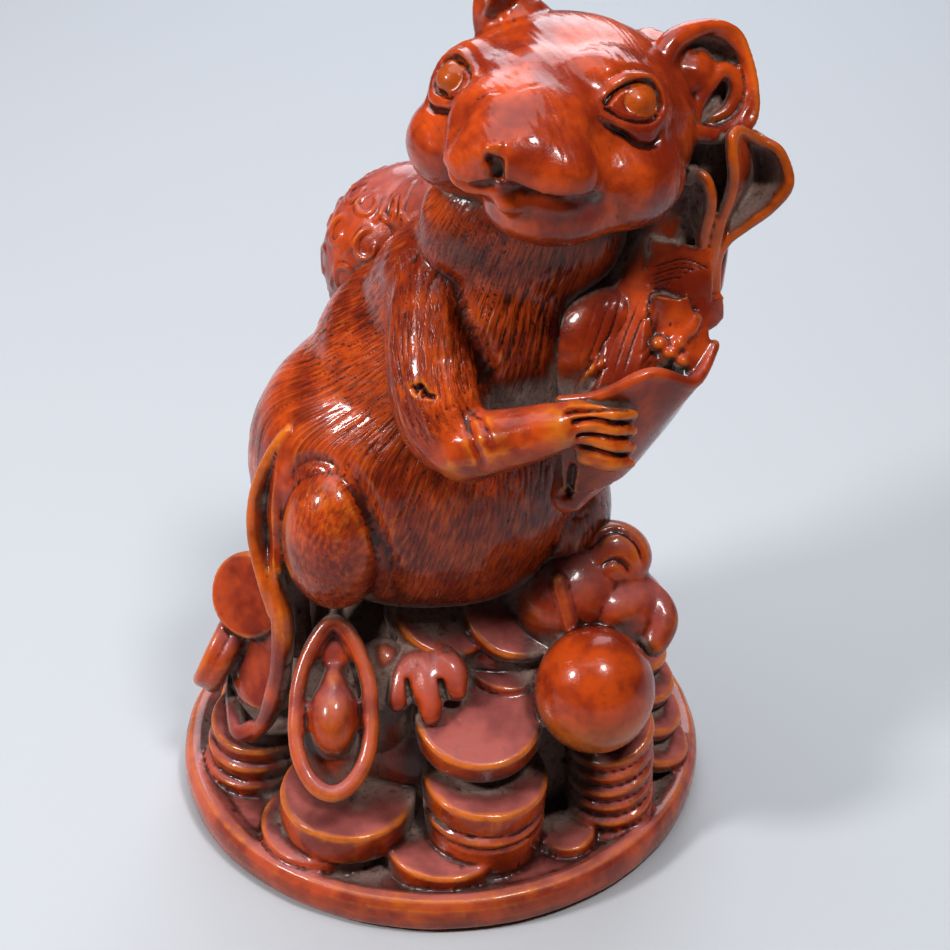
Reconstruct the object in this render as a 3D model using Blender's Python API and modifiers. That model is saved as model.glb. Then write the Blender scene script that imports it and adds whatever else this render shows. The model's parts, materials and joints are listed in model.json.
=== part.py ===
"""Carved wooden rat figurine: a rat hugging a leafy cabbage on a heap of coins and ingots.

Run with: blender --background --python part.py
The shapes are worked out in millimetres and scaled to metres at the end. +Z is up, the
front is -Y, and the origin is the centre of the flat underside.
"""

import math

import bmesh
import bpy
import numpy as np
from mathutils import Euler, Matrix, Vector

MM = 0.001

# Driving dimensions, in millimetres and degrees

# the round foot
BASE_RADIUS = 30.0
BASE_DEPTH_SHARE = 0.97
RIM_HEIGHT = 4.4
FLOOR_HEIGHT = 3.2
RIM_WIDTH = 1.8
FOOT_ROUNDING = 0.9
UNDERSIDE_LEVEL = 0.35

# the rat
TORSO_CENTRE = (-2.0, 1.0, 40.5)
TORSO_RADII = (18.4, 15.5, 17.5)
THIGH_CENTRE = (-9.8, -8.9, 37.6)
THIGH_RADII = (6.1, 6.4, 10.0)
UPPER_ARM = ((1.2, -6.0, 66.0), (0.3, -11.2, 61.3), (1.2, -15.6, 56.8), (3.2, -17.5, 55.0))
UPPER_ARM_RADII = (5.6, 5.2, 4.8, 3.8)
FOREARM = ((3.0, -18.0, 55.2), (7.0, -19.6, 57.0), (11.5, -20.6, 59.0))
FOREARM_RADII = (3.6, 3.1, 2.5)
FOLD_WIDTH = 2.4
FOLD_DEPTH = 0.8
FINGERS = 4
FINGER_SPACING = 1.55
HEAD_CENTRE = (11.8, -6.5, 82.3)
HEAD_TURN = (-12.0, 0.0, -23.0)
SKULL_RADII = (12.4, 12.0, 10.2)
RIGHT_EYE = (9.9, -7.6, 5.4)
LEFT_EYE = (-8.2, -8.6, 5.4)
EYE_RADIUS = 3.1
EYE_SET_BACK = 2.55
EAR_WALL = 1.3
EAR_RIM = 1.9
TAIL_THICKNESS = 1.5
SACK_CENTRE = (-2.0, 11.0, 60.0)
SACK_RADII = (10.2, 8.4, 10.6)

# the treasure
COIN_RADIUS = 7.0
COIN_EDGE = 0.45
PEARL_CENTRE = (16.7, -15.0, 22.2)
PEARL_RADII = (6.4, 6.4, 7.0)
INGOT_CENTRE = (-10.9, -17.2, 21.6)
INGOT_TILT = 46.0
INGOT_HALF_WIDTH = 3.9
INGOT_HALF_LENGTH = 9.0
INGOT_RIM_RADIUS = 0.95
# for each ring of coins behind: how many, how far out, how high, how far they lean
BACK_RINGS = (
    (6, 20.6, 5.4, 6),
    (6, 19.4, 9.6, 20),
    (5, 18.2, 14.2, 34),
    (5, 16.2, 19.4, 44),
)
RING_START = 12.0
RING_SWEEP = 156.0

# the cabbage
LEAF_THICKNESS = 1.1
LEAF_EDGE_RADIUS = 0.6

# the voxels that blend the forms, and the facets that are left
BODY_VOXEL = 0.8
FACE_VOXEL = 0.6
FINE_VOXEL = 0.45
MOST_TRIANGLES = 9700

BOXWOOD = (0.45, 0.07, 0.02, 1.0)


# Working with meshes


def frame_at(place, turn=(0.0, 0.0, 0.0)):
    """The matrix that puts a shape at place, turned by these degrees about X, then Y, then Z."""
    angles = Euler([math.radians(a) for a in turn])
    return Matrix.Translation(Vector(place)) @ angles.to_matrix().to_4x4()


def add_object(name, bm):
    mesh = bpy.data.meshes.new(name)
    bm.to_mesh(mesh)
    bm.free()
    obj = bpy.data.objects.new(name, mesh)
    bpy.context.scene.collection.objects.link(obj)
    return obj


def apply_modifiers(obj):
    graph = bpy.context.evaluated_depsgraph_get()
    graph.update()
    made = bpy.data.meshes.new_from_object(obj.evaluated_get(graph))
    obj.modifiers.clear()
    obj.data = made


def melt(obj, voxel, passes, factor=0.5):
    """Fuse the shapes of a mesh into one skin and soften the creases between them."""
    remesh = obj.modifiers.new("Remesh", "REMESH")
    remesh.mode = "VOXEL"
    remesh.voxel_size = voxel
    apply_modifiers(obj)
    if passes:
        smooth = obj.modifiers.new("Smooth", "SMOOTH")
        smooth.factor = factor
        smooth.iterations = passes
        apply_modifiers(obj)


def nearest_on_line(spots, line):
    """For each spot, how far it is from a line of points."""
    best = np.full(len(spots), np.inf)
    for start, end in zip(line, line[1:]):
        span = end - start
        share = np.clip((spots - start) @ span / (span @ span), 0.0, 1.0)
        best = np.minimum(best, np.linalg.norm(spots - start - share[:, None] * span, axis=1))
    return best


def gouge(obj, points, width, depth, within=Matrix(), steps=24):
    """Cut a rounded groove along a smooth line through the points. A negative depth raises a ridge."""
    mesh = obj.data
    spots = np.empty(3 * len(mesh.vertices), np.float32)
    facing = np.empty_like(spots)
    mesh.vertices.foreach_get("co", spots)
    mesh.vertices.foreach_get("normal", facing)
    spots = spots.reshape(-1, 3).astype(float)
    facing = facing.reshape(-1, 3)
    places = [Vector(p) for p in points]
    line = np.array([within @ along(places, step / steps) for step in range(steps + 1)])
    share = np.clip(nearest_on_line(spots, line) / width, 0.0, 1.0)
    spots -= facing * (depth * (1.0 - share**2) ** 2)[:, None]
    mesh.vertices.foreach_set("co", spots.astype(np.float32).ravel())
    mesh.update()


def take_in(bm, obj):
    """Add an object's mesh to bm and drop the object."""
    bm.from_mesh(obj.data)
    bpy.data.objects.remove(obj)


def catmull(a, b, c, d, t):
    """The point at t on the smooth stretch from b to c."""
    return 0.5 * (
        2 * b + (c - a) * t + (2 * a - 5 * b + 4 * c - d) * t**2 + (3 * b - a - 3 * c + d) * t**3
    )


def along(points, t):
    """The point at share t of a smooth line through the points."""
    last = len(points) - 1
    at = min(t * last, last - 1e-6)
    i = int(at)
    return catmull(points[max(i - 1, 0)], points[i], points[i + 1], points[min(i + 2, last)], at - i)


# Simple forms that the carving is built from


def ball(segments):
    """A sphere of radius 1, made once for each fineness and copied from then on."""
    name = f"ball {segments}"
    if name not in bpy.data.meshes:
        sphere = bmesh.new()
        bmesh.ops.create_uvsphere(sphere, u_segments=2 * segments, v_segments=segments, radius=1.0)
        sphere.to_mesh(bpy.data.meshes.new(name))
        sphere.free()
    return bpy.data.meshes[name]


def lump(bm, place, radii, turn=(0.0, 0.0, 0.0), within=Matrix(), segments=20):
    copy = ball(segments).copy()
    copy.transform(within @ frame_at(place, turn) @ Matrix.Diagonal((*radii, 1.0)))
    bm.from_mesh(copy)
    bpy.data.meshes.remove(copy)


def limb(bm, points, radii, steps=24, flat=1.0, turn=(0.0, 0.0, 0.0), within=Matrix()):
    """A tapering limb: balls set close together along a smooth line."""
    places = [Vector(p) for p in points]
    widths = [Vector((r, 0.0, 0.0)) for r in radii]
    for step in range(steps + 1):
        t = step / steps
        r = along(widths, t).x
        lump(bm, along(places, t), (r, r, r * flat), turn, within, 8)


def coin(bm, place, radius=COIN_RADIUS, thick=3.0, turn=(0.0, 0.0, 0.0)):
    """A coin whose top face's centre is at place."""
    disc = bmesh.new()
    top = frame_at(place, turn) @ Matrix.Translation((0.0, 0.0, -thick / 2))
    bmesh.ops.create_cone(
        disc, cap_ends=True, segments=48, radius1=radius, radius2=radius, depth=thick, matrix=top
    )
    rims = [e for e in disc.edges if any(len(f.verts) > 4 for f in e.link_faces)]
    bmesh.ops.bevel(disc, geom=rims, offset=COIN_EDGE, segments=2, profile=0.5, affect="EDGES")
    mesh = bpy.data.meshes.new("coin")
    disc.to_mesh(mesh)
    disc.free()
    bm.from_mesh(mesh)
    bpy.data.meshes.remove(mesh)


def sheet(bm, rows, thick=LEAF_THICKNESS, fineness=30):
    """A bent sheet of even thickness through rows of points, each row running the same way."""
    grid = bmesh.new()
    bmesh.ops.create_grid(grid, x_segments=fineness, y_segments=fineness, size=0.5)
    lines = [[Vector(p) for p in row] for row in rows]
    for vert in grid.verts:
        across = vert.co.x + 0.5
        up = vert.co.y + 0.5
        vert.co = along([along(line, across) for line in lines], up)
    obj = add_object("sheet", grid)
    solidify = obj.modifiers.new("Solidify", "SOLIDIFY")
    solidify.thickness = thick
    solidify.offset = 0.0
    solidify.use_even_offset = True
    apply_modifiers(obj)
    take_in(bm, obj)


def cup(bm, place, radii, wall, rim, within):
    """A shallow bowl with a rolled rim, open towards its own +Z."""
    bowl = bmesh.new()
    bmesh.ops.create_uvsphere(bowl, u_segments=36, v_segments=20, radius=1.0)
    geom = bowl.verts[:] + bowl.edges[:] + bowl.faces[:]
    bmesh.ops.bisect_plane(bowl, geom=geom, plane_co=(0, 0, 0), plane_no=(0, 0, 1), clear_outer=True)
    shape = within @ Matrix.Translation(place) @ Matrix.Diagonal((*radii, 1.0))
    bmesh.ops.transform(bowl, matrix=shape, verts=bowl.verts)
    obj = add_object("cup", bowl)
    solidify = obj.modifiers.new("Solidify", "SOLIDIFY")
    solidify.thickness = wall
    solidify.offset = 0.0
    apply_modifiers(obj)
    take_in(bm, obj)
    for i in range(60):
        a = math.tau * i / 60
        spot = (radii[0] * math.cos(a), radii[1] * math.sin(a), 0.0)
        lump(bm, spot, (rim / 2, rim / 2, rim / 2), within=within, segments=6)


# The base and the heap


def base(bm):
    """A round foot with a dished top inside a low rim."""
    squeeze = Matrix.Diagonal((1.0, BASE_DEPTH_SHARE, 1.0, 1.0))
    profile = (
        (0.0, 0.0),
        (BASE_RADIUS - FOOT_ROUNDING, 0.0),
        (BASE_RADIUS - 0.2, 0.7),
        (BASE_RADIUS, 2.0),
        (BASE_RADIUS - 0.1, 3.4),
        (BASE_RADIUS - 0.7, RIM_HEIGHT),
        (BASE_RADIUS - RIM_WIDTH, RIM_HEIGHT),
        (BASE_RADIUS - RIM_WIDTH - 1.6, FLOOR_HEIGHT),
        (0.0, FLOOR_HEIGHT),
    )
    foot = bmesh.new()
    verts = [foot.verts.new((x, 0.0, z)) for x, z in profile]
    edges = [foot.edges.new(pair) for pair in zip(verts, verts[1:])]
    bmesh.ops.spin(
        foot,
        geom=verts + edges,
        axis=(0, 0, 1),
        cent=(0, 0, 0),
        angle=math.tau,
        steps=96,
        use_duplicate=False,
    )
    bmesh.ops.remove_doubles(foot, verts=foot.verts, dist=0.001)
    bmesh.ops.recalc_face_normals(foot, faces=foot.faces)
    bmesh.ops.transform(foot, matrix=squeeze, verts=foot.verts)
    take_in(bm, add_object("foot", foot))


def large_ingot(bm):
    """A boat-shaped ingot: a rim round a trough, pointed at its upper end, with an egg in the middle."""
    at = frame_at(INGOT_CENTRE, (INGOT_TILT, 0, 0))
    lump(bm, (0, 0, -3.0), (4.2, 8.6, 3.4), within=at)
    lump(bm, (0, 6.0, -1.1), (2.8, 3.2, 1.7), within=at)
    for i in range(96):
        a = math.tau * i / 96
        point = 1.0 - 0.3 * max(math.cos(a), 0.0) ** 2
        blunt = 1.0 + 0.22 * max(-math.cos(a), 0.0) * abs(math.sin(a))
        x = INGOT_HALF_WIDTH * math.sin(a) * point * blunt
        y = INGOT_HALF_LENGTH * math.cos(a)
        z = 0.5 * math.cos(a) ** 4
        lump(bm, (x, y, z), [INGOT_RIM_RADIUS] * 3, within=at, segments=8)
    lump(bm, (0.1, -0.9, -0.2), (2.55, 4.3, 3.4), within=at)
    lump(bm, (0.4, 1.8, -0.3), (1.5, 3.3, 2.6), within=at)


def small_ingot(bm):
    """The ingot seen end on behind the pearl, with a curled scroll above it."""
    rim = (
        (12.8, -10.6, 31.0),
        (15.2, -9.0, 32.2),
        (18.6, -6.8, 31.8),
        (22.0, -6.2, 30.2),
        (24.0, -7.2, 27.4),
        (23.4, -9.4, 24.2),
    )
    strap = ((12.8, -10.6, 31.0), (13.5, -11.6, 28.6), (14.8, -12.4, 26.0))
    outer = (
        (15.6, -5.4, 35.4),
        (18.4, -4.8, 36.0),
        (21.0, -4.6, 34.8),
        (22.2, -5.0, 32.4),
        (21.9, -6.0, 30.6),
    )
    middle = ((16.2, -6.6, 34.9), (18.6, -6.9, 34.8), (20.7, -6.6, 33.8), (21.0, -7.0, 32.0))
    inner = ((15.8, -7.2, 34.2), (18.3, -7.9, 33.7), (19.6, -8.0, 32.3))
    lump(bm, (17.6, -5.4, 27.0), (7.0, 5.0, 5.4))
    lump(bm, (17.4, -9.2, 28.8), (3.6, 2.6, 2.8), (20, 0, -10))
    lump(bm, (18.4, -4.6, 32.4), (3.8, 2.8, 3.2))
    limb(bm, rim, (0.8, 0.9, 1.0, 1.3, 1.5, 1.2), steps=60)
    limb(bm, strap, (0.8, 0.9, 0.8), steps=20)
    limb(bm, outer, (1.1, 1.3, 1.3, 1.2, 1.0), steps=40)
    limb(bm, middle, (0.5, 0.6, 0.6, 0.5), steps=30)
    limb(bm, inner, (0.6, 0.7, 0.6), steps=20)


def front_coins(bm):
    # front left stack
    coin(bm, (-12.6, -16.9, 5.6), 7.0, 2.8, (2, -2, 0))
    coin(bm, (-9.8, -16.9, 9.8), 7.4, 4.1, (3, 3, 0))
    # centre front stack
    coin(bm, (0.6, -19.6, 5.8), 6.7, 2.8, (3, 3, 0))
    coin(bm, (5.0, -17.6, 8.4), 6.6, 5.4, (2, 3, 0))
    coin(bm, (5.2, -17.2, 12.6), 6.8, 3.1, (3, 4, 0))
    coin(bm, (4.5, -15.3, 19.5), 6.9, 3.6, (18, 3, 0))
    lump(bm, (4.8, -12.6, 10.0), (5.6, 6.0, 4.4))
    lump(bm, (4.6, -13.4, 13.6), (5.9, 5.9, 2.6))
    # leaning stack under the pearl
    for i in range(6):
        coin(bm, (18.9 - 0.05 * i, -13.6 + 0.5 * i, 4.9 + 1.75 * i), 4.9, 1.35, (14, -10 - i, 0))
    limb(bm, ((18.6, -12.6, 3.0), (18.6, -10.0, 15.0)), (4.0, 4.0), steps=10)
    coin(bm, (14.0, -17.6, 4.4), 3.2, 1.5, (3, -4, 0))
    # under the belly
    coin(bm, (1.3, -9.3, 27.6), 5.3, 1.9, (36, -8, 0))
    coin(bm, (7.0, -9.7, 29.0), 5.5, 2.3, (33, 2, 0))
    coin(bm, (7.6, -10.6, 23.8), 5.2, 1.9, (22, 4, 0))


def side_coins(bm):
    # left stack
    for i in range(3):
        coin(bm, (-20.8 + 0.4 * i, -5.2 + 0.5 * i, 5.4 + 2.2 * i), 6.2, 1.9, (4, 6, 0))
    limb(bm, ((-20.5, -4.0, 3.0), (-19.5, -2.0, 10.0)), (5.0, 5.0), steps=8)
    # leaning at the left, one behind another
    coin(bm, (-21.6, -2.6, 26.3), 5.6, 1.8, (52, -32, 0))
    coin(bm, (-18.2, -7.2, 20.6), 5.0, 1.8, (56, -36, 0))
    for i in range(3):
        coin(bm, (-24.6 + 1.2 * i, -3.0 + 2.3 * i, 17.5 + i), 5.7, 1.3, (24 - 4 * i, -66 + 4 * i, 0))
    lump(bm, (-17.0, 0.5, 18.0), (5.2, 8.0, 9.0))
    lump(bm, (-19.6, 1.5, 22.5), (3.2, 5.0, 5.0))
    # fan at the right back
    for i in range(5):
        coin(bm, (23.2 - 0.8 * i, -4.0 + 2.0 * i, 7.5 + 3.0 * i), 6.0, 1.8, (8, 22, 20))


def back_coins(bm):
    """The mound behind, in rising rings of coins that lean outwards."""
    for level, (count, reach, height, lean) in enumerate(BACK_RINGS):
        for i in range(count):
            share = (i + 0.5 * (level % 2)) / (count - 1)
            a = math.radians(RING_START + RING_SWEEP * share)
            spot = (reach * math.cos(a), reach * math.sin(a), height + 0.7 * (i % 2))
            coin(bm, spot, 6.2, 2.2, (-lean * math.sin(a), lean * math.cos(a), 0))


def heap(bm):
    """Coins, ingots and a pearl, packed round a solid core."""
    lump(bm, (0.0, 2.0, 4.0), (20.5, 19.0, 22.5))
    front_coins(bm)
    side_coins(bm)
    back_coins(bm)
    lump(bm, PEARL_CENTRE, PEARL_RADII)
    large_ingot(bm)
    small_ingot(bm)
    lump(bm, (14.0, -3.0, 27.0), (7.0, 8.0, 7.0))


# The rat


def torso(bm):
    lump(bm, TORSO_CENTRE, TORSO_RADII)
    lump(bm, (0.0, 2.0, 32.0), (15.5, 14.5, 12.0))
    lump(bm, (0.5, 1.5, 52.0), (13.8, 12.5, 14.0), (0, 14, 0))
    lump(bm, (4.5, -1.5, 60.0), (11.0, 10.0, 12.0))
    # shoulders, neck, throat and chest
    lump(bm, (8.5, -2.5, 69.0), (9.8, 9.0, 9.5))
    lump(bm, (1.0, -1.5, 62.5), (8.0, 8.5, 8.0), (0, 20, 0))
    lump(bm, (8.6, -6.6, 72.6), (10.2, 8.2, 8.6))
    lump(bm, (0.2, -3.6, 65.6), (5.8, 6.6, 6.4))
    lump(bm, (6.5, -6.0, 60.0), (9.6, 8.8, 12.0))


def right_arm(bm):
    limb(bm, UPPER_ARM, UPPER_ARM_RADII)
    limb(bm, FOREARM, FOREARM_RADII)
    hand(bm)


def hand(bm):
    """A small paw laid over the cabbage, with four fingers."""
    lump(bm, (13.6, -20.4, 59.3), (2.8, 1.7, 2.5))
    for i in range(FINGERS):
        z = 60.8 - FINGER_SPACING * i
        start = (14.2, -20.8 - 0.1 * i, z)
        middle = (16.8, -21.3, z - 0.25 * i)
        end = (18.9, -20.3, z - 0.5 - 0.3 * i)
        limb(bm, (start, middle, end), (0.9, 0.9, 0.6), steps=10)


def left_arm(bm):
    limb(bm, ((14.0, 2.0, 66.0), (21.5, 1.5, 62.0), (25.5, -3.0, 62.0)), (5.0, 4.2, 2.6))
    for i in range(4):
        limb(
            bm,
            ((25.5 + 0.2 * i, -5.0, 65.5 - 1.2 * i), (24.5 + 0.3 * i, -10.0, 66.2 - 1.2 * i)),
            (1.0, 0.8),
            steps=8,
        )


def legs(bm):
    lump(bm, THIGH_CENTRE, THIGH_RADII, (8, 0, 10))
    lump(bm, (13.0, 2.0, 34.0), (6.0, 8.5, 9.5))
    # the hind paw that shows on the coins
    limb(bm, ((-3.6, -8.0, 27.0), (-2.8, -11.5, 25.6), (-1.9, -13.2, 23.2)), (3.2, 3.0, 2.7), steps=10)
    toes = (
        ((-2.8, -13.4, 23.2), (-3.1, -15.8, 18.9)),
        ((-1.3, -14.2, 23.2), (-0.7, -16.3, 18.5)),
        ((0.4, -13.6, 23.0), (1.5, -15.4, 20.4)),
    )
    for toe in toes:
        limb(bm, toe, (1.35, 0.95), steps=8)


def tail(bm):
    """A strap-like tail that comes round the coins from behind and ends in a hollowed point."""
    root = (
        (-4.0, 12.0, 31.0),
        (-10.5, 15.4, 23.6),
        (-17.6, 11.2, 16.8),
        (-23.0, 3.0, 11.5),
        (-22.6, -8.2, 11.0),
        (-20.6, -10.0, 12.4),
    )
    limb(bm, root, (3.4, 2.8, 2.3, 1.6, 1.1, 1.0), steps=60)
    strap = (
        ((-21.9, -9.4, 11.4), (-21.4, -9.4, 11.0), (-20.9, -9.4, 10.6)),
        ((-20.3, -10.4, 13.9), (-19.7, -10.4, 13.5), (-19.0, -10.6, 13.2)),
        ((-18.8, -11.2, 17.0), (-18.0, -11.3, 17.0), (-17.2, -11.4, 17.2)),
        ((-18.0, -11.6, 21.4), (-17.1, -11.7, 21.4), (-16.2, -11.8, 21.6)),
        ((-17.8, -11.6, 25.6), (-16.7, -11.6, 25.6), (-15.5, -11.8, 25.7)),
        ((-18.0, -10.6, 30.1), (-16.8, -10.4, 30.3), (-15.4, -11.2, 30.5)),
        ((-19.5, -8.6, 34.5), (-18.0, -7.8, 34.8), (-16.0, -9.8, 35.4)),
        ((-19.9, -7.4, 38.2), (-18.2, -6.8, 38.4), (-15.9, -9.2, 38.8)),
        ((-19.5, -7.0, 41.4), (-17.6, -6.6, 41.8), (-15.5, -8.6, 42.3)),
        ((-18.6, -6.8, 44.5), (-16.8, -6.4, 44.9), (-15.1, -8.0, 45.2)),
        ((-17.0, -6.7, 48.0), (-16.0, -6.5, 47.8), (-14.9, -7.2, 47.6)),
        ((-15.2, -6.6, 49.8), (-15.0, -6.6, 49.7), (-14.8, -6.8, 49.6)),
    )
    sheet(bm, strap, TAIL_THICKNESS, 40)
    # the lower half is rounded, and the upper half has a raised outer edge
    ridge = [row[1] for row in strap[:7]]
    limb(bm, ridge, (0.8, 1.1, 1.3, 1.3, 1.3, 1.1, 0.6), steps=50)
    outer = [row[0] for row in strap[5:]]
    limb(bm, outer, (0.75, 0.8, 0.8, 0.75, 0.7, 0.5, 0.4), steps=50)
    # wood is left under the strap where it lies along the flank
    backing = ((-17.0, -5.0, 46.0), (-17.2, -5.0, 40.0), (-16.4, -6.6, 32.0), (-15.6, -9.0, 24.0))
    limb(bm, backing, (1.4, 2.2, 2.6, 2.2))


def sack(bm):
    lump(bm, SACK_CENTRE, SACK_RADII, (0, 14, 0))
    lump(bm, (2.0, 7.0, 67.0), (7.0, 6.0, 5.0))


def head(bm):
    at = frame_at(HEAD_CENTRE, HEAD_TURN)
    lump(bm, (0.0, 1.2, 0.8), SKULL_RADII, within=at)
    for side in (-1, 1):
        lump(bm, (side * 5.8, -4.2, 3.4), (5.2, 5.6, 5.2), within=at)
    # the muzzle, from the brow to the nose, and the chin
    lump(bm, (0.3, -5.0, 2.8), (8.8, 8.6, 6.6), within=at)
    lump(bm, (0.4, -9.4, 1.9), (7.8, 7.4, 5.8), within=at)
    lump(bm, (0.5, -13.0, 1.5), (6.0, 5.4, 4.4), within=at)
    lump(bm, (0.5, -17.0, 2.2), (2.4, 2.2, 1.7), within=at)
    lump(bm, (1.8, -6.6, -4.7), (5.8, 6.2, 4.1), within=at)
    # whisker pads and cheeks
    lump(bm, (3.7, -13.2, -0.4), (4.1, 4.7, 4.0), within=at)
    lump(bm, (-2.9, -14.0, -0.4), (3.7, 4.4, 3.8), within=at)
    lump(bm, (6.9, -3.2, -2.0), (6.2, 7.6, 5.6), within=at)
    lump(bm, (-7.3, -3.6, -2.4), (6.0, 7.4, 6.0), within=at)


def carve_face(obj):
    """The mouth line, the notch under the nose and the hollows that the eyes sit in."""
    at = frame_at(HEAD_CENTRE, HEAD_TURN)
    mouth = (
        (-5.8, -12.6, -1.2),
        (-4.4, -15.6, -2.2),
        (-2.6, -17.2, -2.7),
        (1.0, -17.6, -1.6),
        (4.6, -16.6, -3.4),
        (7.4, -12.0, -3.0),
        (8.0, -10.0, -2.4),
    )
    gouge(obj, mouth, 1.3, 1.0, at)
    gouge(obj, ((0.5, -18.9, 1.2), (0.8, -18.6, 0.2), (1.0, -17.8, -1.2)), 1.4, 1.2, at)
    for x, y, z in (RIGHT_EYE, LEFT_EYE):
        gouge(obj, ((x, y, z - 0.6), (x, y, z)), 4.4, 1.1, at)


def eyes(bm):
    at = frame_at(HEAD_CENTRE, HEAD_TURN)
    for place in (RIGHT_EYE, LEFT_EYE):
        outward = Vector((math.copysign(0.649, place[0]), -0.616, 0.446))
        lump(bm, Vector(place) - EYE_SET_BACK * outward, [EYE_RADIUS] * 3, within=at)


def ears(bm):
    right = frame_at((25.8, -4.6, 86.6), (62, 0, 26))
    cup(bm, (0, 0, 0), (4.3, 4.6, 3.0), EAR_WALL, EAR_RIM, right)
    curl = (
        (-2.4, 0.4, -1.0),
        (-0.2, 2.0, -0.8),
        (1.6, 1.0, -0.8),
        (1.6, -1.4, -0.8),
        (-1.2, -2.2, -1.0),
    )
    limb(bm, curl, (0.8, 0.9, 0.9, 0.9, 0.7), steps=30, within=right)
    limb(bm, ((20.0, -1.5, 86.5), (23.6, -2.6, 86.5)), (4.0, 3.0), steps=6)
    left = frame_at((4.2, 1.0, 95.4), (80, 0, -84))
    cup(bm, (0, 0, 0), (4.4, 4.6, 2.8), EAR_WALL, EAR_RIM, left)
    limb(bm, ((9.0, -1.5, 88.0), (6.6, 0.4, 91.6), (6.0, 1.0, 94.0)), (4.8, 3.4, 2.6), steps=12)


# The cabbage


def cabbage(bm):
    heart = (
        (13.2, -16.4, 48.5),
        (15.6, -14.8, 53.0),
        (18.4, -12.4, 58.2),
        (19.6, -7.6, 64.0),
        (22.4, -3.6, 70.0),
        (25.0, -2.6, 77.0),
        (26.0, -3.0, 81.0),
    )
    limb(bm, heart, (1.9, 3.8, 5.4, 5.4, 5.0, 4.2, 3.0))
    # the leaf between the heart and the chest
    lump(bm, (15.6, -10.0, 61.0), (5.6, 4.2, 7.4), (0, 20, 0))
    outer_leaf(bm)
    folded_leaves(bm)
    tall_leaf(bm)


def outer_leaf(bm):
    """The leaf wrapped round the front, with a wavy lip that stands off from the heart."""
    foot = (
        (12.8, -17.6, 50.0),
        (14.0, -18.2, 50.3),
        (16.0, -17.8, 50.6),
        (18.0, -16.4, 51.0),
        (20.0, -13.6, 51.5),
    )
    middle = (
        (12.3, -18.2, 55.5),
        (15.0, -19.0, 56.0),
        (18.4, -18.2, 56.4),
        (21.4, -16.0, 56.4),
        (23.6, -12.6, 56.4),
    )
    lip = (
        (12.0, -18.5, 60.7),
        (15.7, -19.6, 61.9),
        (20.4, -18.4, 63.5),
        (24.6, -16.4, 61.4),
        (26.8, -13.0, 63.4),
    )
    sheet(bm, (foot, middle, lip))
    limb(bm, lip, [LEAF_EDGE_RADIUS] * len(lip), steps=60)


def folded_leaves(bm):
    """The small leaves crumpled between the outer leaf and the cheek."""
    behind = (
        ((19.4, -10.6, 65.4), (23.5, -11.6, 66.4), (27.0, -10.4, 67.4)),
        ((20.2, -9.4, 69.0), (23.8, -10.6, 69.6), (27.0, -9.8, 70.0)),
        ((20.8, -7.4, 72.6), (23.8, -8.6, 72.4), (27.0, -9.0, 72.4)),
    )
    narrow = (
        ((24.0, -7.0, 71.5), (25.0, -8.4, 72.0), (25.8, -9.0, 72.8)),
        ((24.0, -6.0, 75.6), (25.4, -8.2, 76.0), (26.1, -9.0, 76.3)),
        ((24.0, -5.0, 80.0), (24.8, -7.2, 79.6), (25.2, -8.5, 79.1)),
    )
    lobe = (
        ((21.2, -12.4, 65.0), (22.4, -13.2, 64.9), (24.0, -13.4, 65.2), (24.8, -12.8, 66.2)),
        ((20.9, -11.4, 68.2), (21.8, -12.2, 68.4), (23.0, -12.4, 68.2), (23.8, -11.8, 68.0)),
    )
    back = (
        ((24.6, -12.8, 64.6), (26.2, -11.6, 64.4), (27.6, -9.8, 64.6)),
        ((25.0, -11.4, 67.4), (26.2, -10.6, 67.2), (27.4, -9.4, 67.0)),
    )
    corner = (
        ((24.2, -15.4, 61.6), (25.2, -14.6, 61.8), (26.4, -13.4, 62.8)),
        ((23.6, -13.4, 64.4), (24.8, -12.8, 64.6), (26.0, -12.0, 64.6)),
    )
    for rows in (behind, narrow, lobe, back, corner):
        sheet(bm, rows)
    limb(bm, lobe[0], (0.6, 0.8, 0.9, 0.7), steps=24)
    lump(bm, (23.0, -9.0, 65.0), (4.0, 4.0, 3.6))
    seeds = (
        (21.4, -14.4, 64.4),
        (22.4, -14.8, 63.6),
        (23.2, -14.2, 64.4),
        (23.6, -15.0, 62.8),
        (22.0, -14.6, 62.9),
    )
    for place in seeds:
        lump(bm, place, (0.8, 0.8, 0.8), segments=8)


def tall_leaf(bm):
    """The large leaf that stands up beside the cheek, curled like the mouth of a trumpet."""
    rows = (
        ((27.0, -9.4, 64.2), (27.4, -8.6, 64.2), (28.0, -8.8, 64.4)),
        ((26.8, -9.4, 68.0), (27.4, -8.2, 68.0), (28.1, -8.6, 68.0)),
        ((27.0, -9.0, 72.0), (28.0, -6.6, 71.6), (28.8, -8.0, 71.5)),
        ((27.2, -8.7, 75.5), (29.6, -4.4, 75.0), (31.7, -7.0, 74.3)),
        ((27.5, -8.5, 78.6), (30.4, -3.4, 78.0), (33.6, -6.0, 77.4)),
        ((27.9, -8.0, 82.4), (29.4, -5.4, 82.0), (31.1, -6.0, 80.8)),
    )
    edges = (
        [row[0] for row in rows],
        [row[2] for row in rows],
        [(27.9, -8.0, 82.4), (28.8, -7.0, 82.8), (30.0, -6.4, 81.6), (31.1, -6.0, 80.8)],
        [(31.1, -6.0, 80.8), (33.0, -5.8, 79.6), (33.7, -6.0, 77.6)],
    )
    sheet(bm, rows)
    for edge in edges:
        limb(bm, edge, [LEAF_EDGE_RADIUS] * len(edge), steps=50)


# Putting it together


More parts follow.
